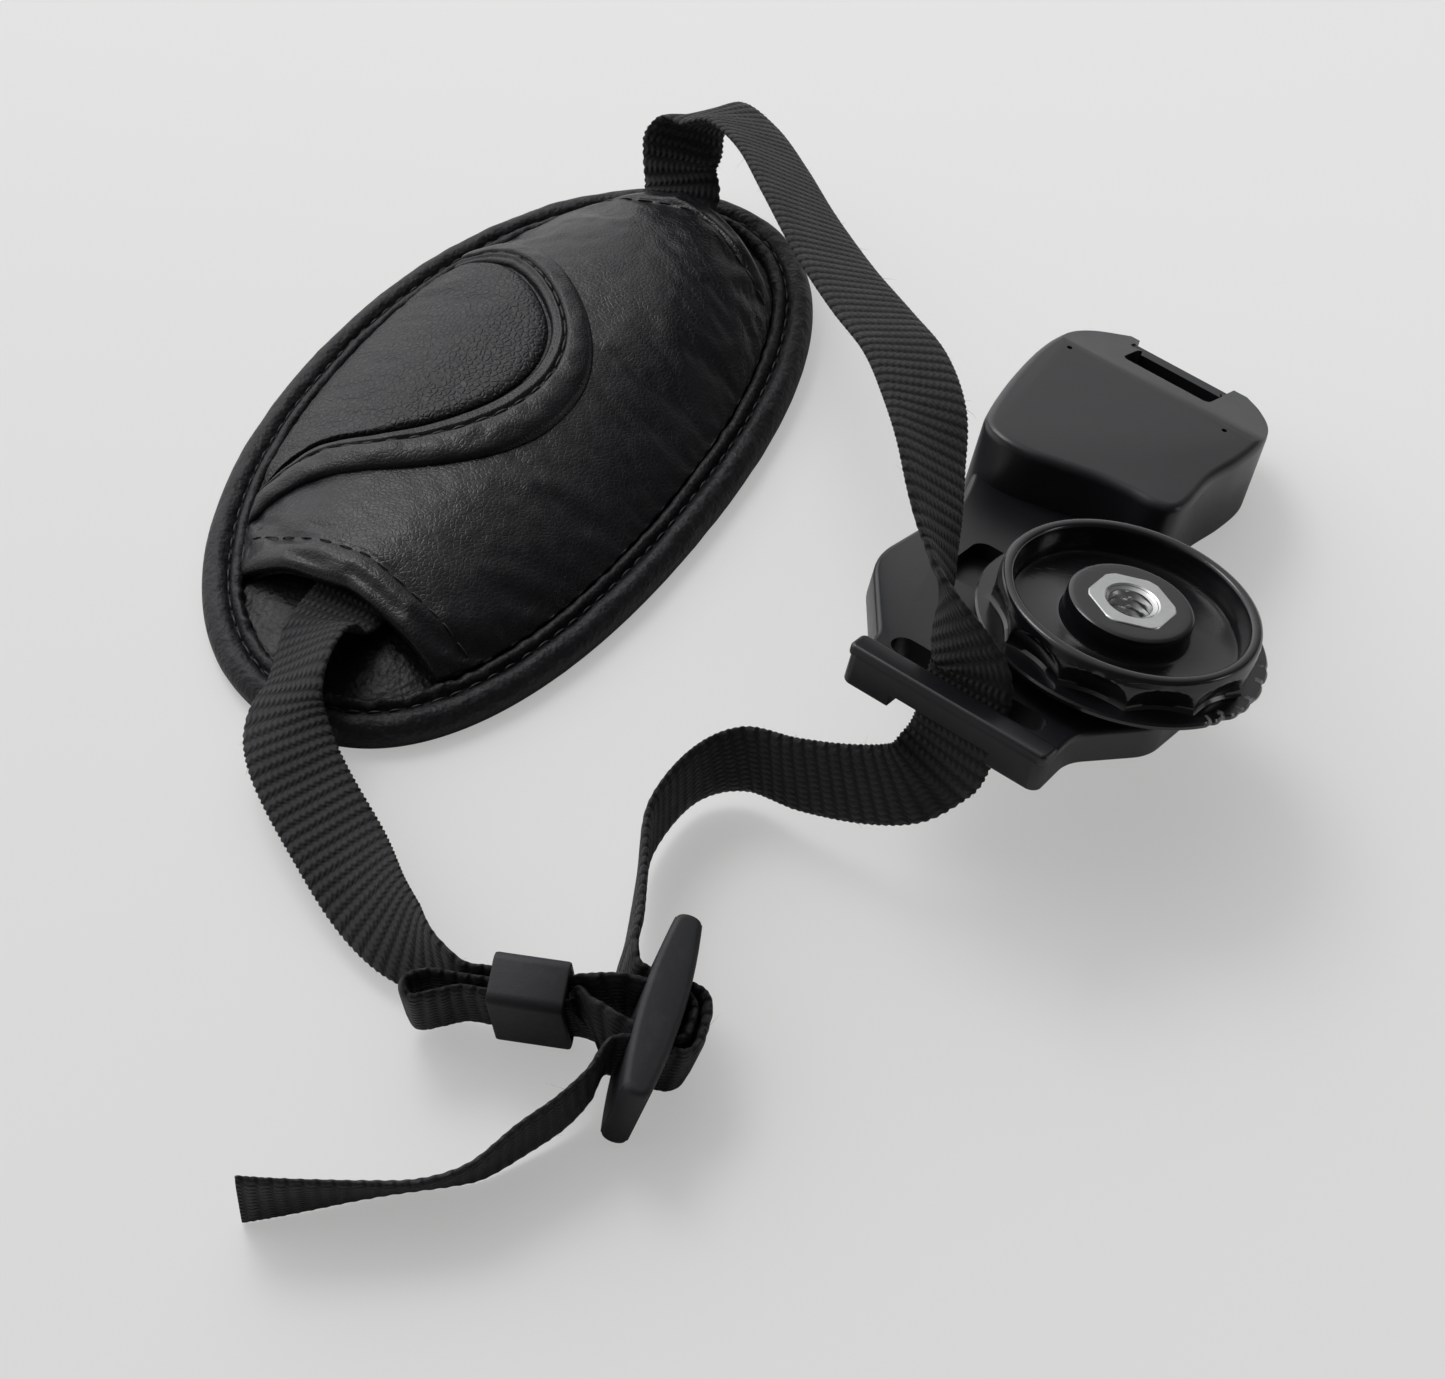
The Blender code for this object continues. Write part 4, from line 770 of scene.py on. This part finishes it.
# A D-shaped trim is sewn on the cover's far side: a grained panel, and round it a puffy rolled band 5.5 mm wide
# with a row of stitches in a groove along it.
trim_outer = [(-34.5, 22), (-27, 15.5), (-21, 5.5), (-14, -3), (-5.5, -8), (3.5, -9), (11.5, -6.5), (19.5, 0),
              (25.3, 8.6), (28, 17.5), (27, 24.6)]
trim_inner = [(-28, 23.5), (-21, 19), (-16.5, 11), (-10.5, 5), (-3, 0.5), (4.5, -1), (12, 1), (17.5, 6),
              (21.7, 13), (23, 19), (22, 25)]
outer, inner = smooth_curve(trim_outer, 22) / 1000, smooth_curve(trim_inner, 22) / 1000
stitch_share, crease_share = 0.34, 0.16
shares = np.linspace(0, 1, 30)
band = np.zeros((len(outer), len(shares), 3))
under = band.copy()
for k, share in enumerate(shares):
    flat = inner + (outer - inner) * share
    lift = 0.0001 + 0.0017 * math.sin(math.pi * share) ** 0.45
    lift -= 0.0008 * math.exp(-((share - stitch_share) / 0.05) ** 2)
    lift -= 0.0003 * math.exp(-((share - crease_share) / 0.04) ** 2)
    band[:, k] = cover_point(*flat.T, lift)
    under[:, k] = cover_point(*flat.T, -0.0002)
band[..., 2] += 0.00024 * wobbles(12, band, 380) * np.sin(np.pi * shares)
trim = make("trim_band", *slab(band, under), leather, place=pad, slot="leather", instead=("applique_band",))
line = (inner + (outer - inner) * stitch_share)[6:-6]
line = cover_point(*line.T, 0.0011)
make("trim_stitching", *stitches(line, 0.0024, 0.0008, 0.00021, seed=14), thread, place=pad, slot="leather")

# The trim's panel lies between the band and the sleeve's side seam. It is thinner at its edges and a little
# plumper in its middle.
seam_x = np.linspace(trim_inner[0][0] + 1.5, trim_inner[-1][0] - 1.5, len(inner)) / 1000
seam = np.stack([seam_x, pad_centre(seam_x) + pad_reach(seam_x, 0.0064)], 1)
leaf_in = np.stack([inner[:, 0] * 0.985, inner[:, 1] + 0.0004], 1)
shares = np.linspace(0, 1, 60)
plump = np.zeros((len(inner), len(shares), 3))
flat_under = plump.copy()
ends = np.minimum(np.arange(len(inner)), np.arange(len(inner))[::-1]) / 14
for k, share in enumerate(shares):
    flat = seam + (leaf_in - seam) * share
    edge = np.minimum(1.0, np.minimum(min(share, 1 - share) * 12, ends))
    plump[:, k] = cover_point(*flat.T, 0.0003 + 0.0008 * np.sin(np.pi / 2 * edge) ** 0.6)
    flat_under[:, k] = cover_point(*flat.T, -0.0002)
grained = Look("grained_leatherette", (0.008, 0.0085, 0.0098), 0.4, 0.28)
grain = grained.pebbles(0.0009, "DISTANCE_TO_EDGE").between(0.0, 0.25)
folds = grained.speckle(0.0022, 4.0, 0.6, stretch=(0.5, 1.0, 1.0), turn=0.5)
cloudy = grained.speckle(0.008)
grained.surface(cloudy * 0.4 + grain * 0.3, (0.006, 0.0064, 0.0075), (0.017, 0.0175, 0.0195),
                0.38 + cloudy * 0.14 - grain * 0.06)
grained.relief((grain, 0.00013, 0.7), (folds, 0.0004, 0.4))
trim = make("trim_panel", *slab(plump, flat_under), grained, place=pad, slot="leather", instead=("applique_panel",))

# A washer on the screw's neck keeps the screw in the plate. It is hidden in a pocket, so it is the solid itself,
# in the dull plastic.
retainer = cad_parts["screw_retainer"]
retainer.data.materials[0] = dull.material
retainer.data.shade_smooth()
retainer.data.set_sharp_from_angle(angle=math.radians(32))

# The base plate is moulded in satin black plastic, with soft edges, faint flow marks, fine scratches and dust. It
# is an S-shaped plate with a strap bar at one end and a thick sloping block, with its own slot, at the other.
satin = Look("satin_moulding", (0.007, 0.0074, 0.0088), 0.34, 0.46)
flow = satin.speckle(0.012, 2.0)
fine_rub = satin.speckle(0.0007, 3.0, 0.7)
scratch = satin.speckle(0.0005, 2.0, 0.6, stretch=(0.06, 1.0, 1.0), turn=0.7).between(0.62, 0.7)
dust = satin.speckle(0.0004, 2.0, 0.85).between(0.70, 0.76)
satin.surface(flow * 0.35 + scratch * 0.15 + dust * 0.6, (0.0045, 0.0049, 0.006), (0.020, 0.0205, 0.0235),
              0.25 + flow * 0.12 + fine_rub * 0.08)
satin.relief((satin.speckle(0.0003, 2.0), 0.00002, 0.5), (flow, 0.0002, 0.3))
plate = standing((0.0468, -0.0434, 0.0186), (0.550, 0.779, -0.302), (0.220, 0.214, 0.952))
plate_outline = rounded([(-24.3, -28.4, 1.4), (5.8, -28.4, 1.6), (5.4, -19.6, 7.0), (12.2, -9.6, 8.0),
                         (12.6, 8.0, 11.0), (-7.2, 25.0, 7.0), (-8.6, 44.0, 2.0), (-35.5, 44.0, 2.0),
                         (-37.0, 29.0, 5.0), (-31.6, 12.0, 16.0), (-33.0, -8.0, 12.0), (-22.8, -22.9, 5.0)])
block_side = [(-14.9, 64.2), (-11.6, 61.6), (-8.4, 57.4), (-6.5, 52.0), (-6.3, 45.0), (-6.9, 37.0), (-6.2, 29.0),
              (-6.8, 25.4), (-9.5, 24.0), (-13.5, 23.8), (-18.0, 23.0), (-22.9, 21.3), (-27.4, 19.8), (-31.6, 19.6),
              (-35.2, 21.4), (-36.9, 25.5), (-39.0, 35.0), (-40.3, 45.0), (-40.1, 52.0), (-38.2, 58.4), (-34.4, 63.8)]
block_outline = smooth_curve(block_side, 8)[::-1].tolist()
pad_recess = rounded([(8.3, -14.3, 5.0), (9.3, 7.3, 8.0), (-10.7, 23.3, 6.0), (-11.2, 50.3, 4.0), (-34.3, 50.3, 4.0),
                      (-33.3, 27.3, 5.0), (-28.3, 12.3, 12.0), (-29.3, -8.3, 8.0), (-22.3, -16.8, 4.0)])


def box(x0, y0, x1, y1, low, high, radius=0.5, edge=0.0):
    """An upright box with rounded corners."""
    return prism(oblong(x0, y0, x1, y1, radius), low, high, edge, edge)


def disc(radius, low, high, x=0.0, y=0.0, count=96):
    return prism([(x + radius * math.cos(2 * math.pi * k / count), y + radius * math.sin(2 * math.pi * k / count))
                  for k in range(count)], low, high)


slope = [(50.2, 12.61), (72.0, 12.61), (72.0, 12.6 - 21.8 * 0.19)]
points, faces = carved(
    prism(plate_outline, 0.0, 5.0, 0.4, 0.8),
    (prism(block_outline, 0.0, 12.6, 0.4, 1.3), box(-24.1, -28.3, 5.6, -24.7, 4.0, 5.75, 0.9, 0.55)),
    (box(-21.1, -23.95, 1.9, -20.05, -1.0, 7.0, 1.9), bar(slope, -50.0, 5.0),
     box(-31.4, 54.6, -17.0, 60.5, -1.0, 14.0, 1.0), box(-32.9, 60.4, -17.1, 70.0, -1.0, 3.0, 0.3),
     box(-32.9, 60.4, -17.1, 70.0, 10.0, 14.0, 0.3), box(-32.9, 62.3, -17.1, 70.0, -1.0, 14.0, 0.3),
     disc(3.6, -1.0, 6.0), disc(6.4, -1.0, 3.3), box(-25.2, -3.6, -17.0, 7.0, 2.6, 6.0, 2.0),
     box(-16.8, -30.0, -1.6, -24.4, -1.0, 2.0, 0.4), disc(0.42, 12.0, 13.0, -37.2, 48.6, 16),
     disc(0.42, 12.0, 13.0, -11.6, 48.8, 16), prism(pad_recess, -1.0, 1.2)))
make("moulded_plate", points, faces, satin, place=plate, sharp=34, slot="satin_plastic", instead=("base_plate",))

# A thin rubber pad with a fine dimpled surface is let into the side that meets the camera. It faces the table, so
# it is the solid itself.
rubber = Look("black_rubber", (0.012, 0.012, 0.012), 0.8)
dimples = rubber.pebbles(0.0012)
rubber.surface(dimples, (0.008, 0.008, 0.008), (0.018, 0.018, 0.018), 0.7 + dimples * 0.15)
rubber.relief((dimples, 0.0002, 0.6))
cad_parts["camera_pad"].data.materials[0] = rubber.material

# The thumb wheel is a shallow fluted cup in glossy plastic: a thin flange, twelve scallops pressed into its wall,
# a flat rim, and a round boss in the middle. The flange is chipped and whitened where it has been knocked.
profile = [(3.45, 5.3, 0), (8.8, 5.3, 0), (9.0, 5.5, 0), (9.0, 7.7, 0), (19.3, 7.7, 0), (19.6, 7.95, 0),
           (19.6, 8.4, 0), (19.35, 8.68, 0), (18.4, 8.72, 0), (17.95, 8.8, 0.9), (17.72, 9.2, 1.0), (17.7, 9.8, 1.0),
           (17.7, 10.5, 0.93), (17.68, 11.2, 0.78), (17.65, 11.8, 0.52), (17.6, 12.2, 0.25), (17.55, 12.45, 0.05),
           (17.5, 12.6, 0), (17.42, 13.2, 0), (17.3, 13.55, 0), (17.0, 13.76, 0), (16.6, 13.8, 0), (16.2, 13.78, 0),
           (15.9, 13.6, 0), (15.78, 13.3, 0), (15.65, 11.5, 0), (15.5, 10.1, 0), (15.2, 9.62, 0), (14.6, 9.5, 0),
           (12.0, 9.5, 0), (9.2, 9.5, 0), (8.8, 9.6, 0), (8.62, 9.9, 0), (8.55, 11.0, 0), (8.5, 12.5, 0),
           (8.38, 12.95, 0), (8.05, 13.16, 0), (7.7, 13.2, 0), (6.9, 13.2, 0), (3.45, 13.2, 0)]
flutes, flute_depth, flange_from = 12, 1.5, 18.2
count = flutes * 30
knocks = [(-0.42, 0.025, 0.25), (-0.30, 0.05, 0.5), (-0.13, 0.03, 0.25), (0.04, 0.06, 0.35), (0.27, 0.05, 0.5),
          (0.46, 0.03, 0.2), (2.79, 0.02, 0.2)]
rings, worn = [], []
for radius, height, share in profile:
    ring = []
    for k in range(count):
        angle = 2 * math.pi * k / count
        part = (flutes * angle / (2 * math.pi)) % 1.0
        scallop = max(0.0, math.sin(math.pi * part)) ** 0.85
        reach = radius - flute_depth * max(0.0, share + scallop - 1.0)
        mark = 0.0
        if radius > flange_from:
            for where, width, depth in knocks:
                near = math.atan2(math.sin(angle - where), math.cos(angle - where)) / width
                bite = math.exp(-near * near) * (0.6 + 0.8 * abs(wobble(15, angle * 60)))
                reach -= depth * bite * (radius > 19)
                mark = max(mark, min(1.0, bite * 1.2))
        ring.append((reach * math.cos(angle) / 1000, reach * math.sin(angle) / 1000, height / 1000))
        worn.append(mark)
    rings.append(ring)
gloss = Look("gloss_moulding", (0.005, 0.0052, 0.006), 0.2, 0.5)
haze = gloss.speckle(0.006)
swirl = gloss.speckle(0.0006, 2.0, 0.6, stretch=(0.08, 1.0, 1.0), turn=1.1).between(0.6, 0.7)
dust = gloss.speckle(0.00045, 2.0, 0.85).between(0.69, 0.75)
wear = gloss.node("ShaderNodeAttribute", output="Fac", attribute_name="wear")
flake = (wear * gloss.speckle(0.0008, 3.0, 0.8)).between(0.36, 0.5)
plain = gloss.mix(haze * 0.3 + dust * 0.5 + swirl * 0.1, (0.0035, 0.0037, 0.0044), (0.022, 0.0225, 0.025))
gloss.feed("Base Color", gloss.mix(flake, plain, (0.26, 0.265, 0.28)))
gloss.feed("Roughness", 0.13 + haze * 0.12 + flake * 0.35)
gloss.relief((haze, 0.00015, 0.25), (swirl, 0.00002, 0.4))
wheel = make("fluted_wheel", *loft(rings, closed=True), gloss, body="wheel", place=plate, sharp=40,
             slot="gloss_plastic", instead=("thumb_wheel",))
marked(wheel, "wear", worn)

# The captive screw's head is a zinc-plated hexagon, 10.8 mm across its flats, with a chamfered top and a tapped
# hole; below the plate it ends in a standard quarter-inch thread.
zinc = Look("zinc_plating", (0.6, 0.61, 0.61), 0.3, Metallic=1.0)
brushed = zinc.speckle(0.0004, 3.0, 0.7, stretch=(0.3, 1.0, 1.0))
tarnish = zinc.speckle(0.0025)
zinc.surface(tarnish * 0.6 + brushed * 0.3, (0.38, 0.385, 0.38), (0.68, 0.69, 0.68), 0.24 + brushed * 0.2)
zinc.relief((brushed, 0.00002, 0.6), (tarnish, 0.0001, 0.2))


def hexagon(angle, flat):
    part = (angle + math.pi / 6) % (math.pi / 3) - math.pi / 6
    return flat / math.cos(part)


thread_core, thread_pitch, flat = 2.75, 1.27, 5.4


def threaded(depth, height, angle):
    """Radius of a thread's vee at a height and an angle."""
    turn = (height / thread_pitch - angle / (2 * math.pi)) % 1.0
    return thread_core + depth * (1 - abs(2 * turn - 1))


count = 96
levels = [(lambda a: 2.35, -5.9)]
levels += [(lambda a, z=z: threaded(0.4, z, a), z) for z in np.arange(-5.5, -1.9, 0.16)]
levels += [(lambda a: 2.5, -1.6), (lambda a: 2.5, 3.0), (lambda a: 3.15, 3.3), (lambda a: 3.15, 7.8),
           (lambda a: hexagon(a, flat), 7.8), (lambda a: hexagon(a, flat), 12.75),
           (lambda a: min(hexagon(a, flat), 6.0), 13.0), (lambda a: min(hexagon(a, flat - 0.02), 5.85), 13.25),
           (lambda a: min(hexagon(a, flat - 0.12), 5.7), 13.36), (lambda a: 3.75, 13.36), (lambda a: 3.3, 13.05)]
levels += [(lambda a, z=z: threaded(0.45, z, a), z) for z in np.arange(12.9, 8.3, -0.16)]
rings = []
for reach, height in levels:
    ring = []
    for k in range(count):
        angle = 2 * math.pi * k / count
        ring.append((reach(angle) * math.cos(angle) / 1000, reach(angle) * math.sin(angle) / 1000, height / 1000))
    rings.append(ring)
make("tripod_screw", *loft(rings), zinc, body="wheel", place=plate, sharp=30, slot="zinc", instead=("camera_screw",))

# The object lies on a plain pale surface, painted a little brighter towards the far right as a painted pool of light;
# to the camera about half of it is a glow in that colour, which paints light into the shadows on it. The light is
# soft studio light from above, stronger from the far left, with a weak window on the right.
ground = bpy.data.meshes.new("ground")
ground.from_pydata([(-12, -12, 0), (12, -12, 0), (12, 12, 0), (-12, 12, 0)], [], [(0, 1, 2, 3)])
floor = linked("floor", ground)
floor.location.z = -0.0001
paper = Look("pale_surface", (0.78, 0.78, 0.775), 0.65, 0.2)
spot = paper.node("ShaderNodeTexCoord", output="Object")
# Painted pool of light: the floor's colour is lighter towards the far right.
painted_falloff = paper.node("ShaderNodeVectorMath", {0: spot, 1: (1.7, 2.6, 0.0)}, output="Value",
                    operation="DOT_PRODUCT") + 0.5
pale_tone_and_painted_falloff = paper.mix(painted_falloff.between(0.0, 1.0), (0.765, 0.77, 0.758), (0.84, 0.842, 0.832))
paper.feed("Base Color", pale_tone_and_painted_falloff)
# Painted light: about half of what the camera sees of the floor is this glow, which lifts the shadows on it.
painted_floor_glow = paper.node("ShaderNodeEmission", {"Color": pale_tone_and_painted_falloff, "Strength": 0.94}, output="Emission")
seen = paper.node("ShaderNodeLightPath", output="Is Camera Ray")
body = Field(paper, paper.shader.outputs["BSDF"])
both = paper.node("ShaderNodeMixShader", {0: seen * 0.52, 1: body, 2: painted_floor_glow})
paper.tree.links.new(both.socket, paper.tree.nodes["Material Output"].inputs["Surface"])
ground.materials.append(paper.material)
world = bpy.data.worlds.new("studio")
world.use_nodes = True
air = Nodes(world.node_tree)
spot = air.node("ShaderNodeTexCoord", output="Generated")
side = air.node("ShaderNodeVectorMath", {0: spot, 1: (-0.60, 0.69, 0.40)}, output="Value", operation="DOT_PRODUCT")
share = air.node("ShaderNodeMapRange", {"Value": side, "From Min": -0.2})
curve = air.node("ShaderNodeMath", {0: share, 1: 2.2}, operation="POWER")
level = air.node("ShaderNodeMath", {0: curve, 1: 1.95, 2: 0.08}, operation="MULTIPLY_ADD")
background = air.tree.nodes["Background"]
background.inputs["Color"].default_value = (0.985, 0.99, 1.0, 1.0)
air.tree.links.new(level.socket, background.inputs["Strength"])
bpy.context.scene.world = world
for name, spot, size, power in (("window", (-0.30, 0.45, 0.85), 0.45, 3.2),
                                ("side_window", (0.80, -0.05, 0.22), 0.22, 0.35)):
    light = bpy.data.lights.new(name, "AREA")
    light.shape, light.size, light.energy = "DISK", size, power
    lamp = linked(name, light)
    lamp.location = spot
    lamp.rotation_euler = (-Vector(spot)).to_track_quat("-Z", "Y").to_euler()
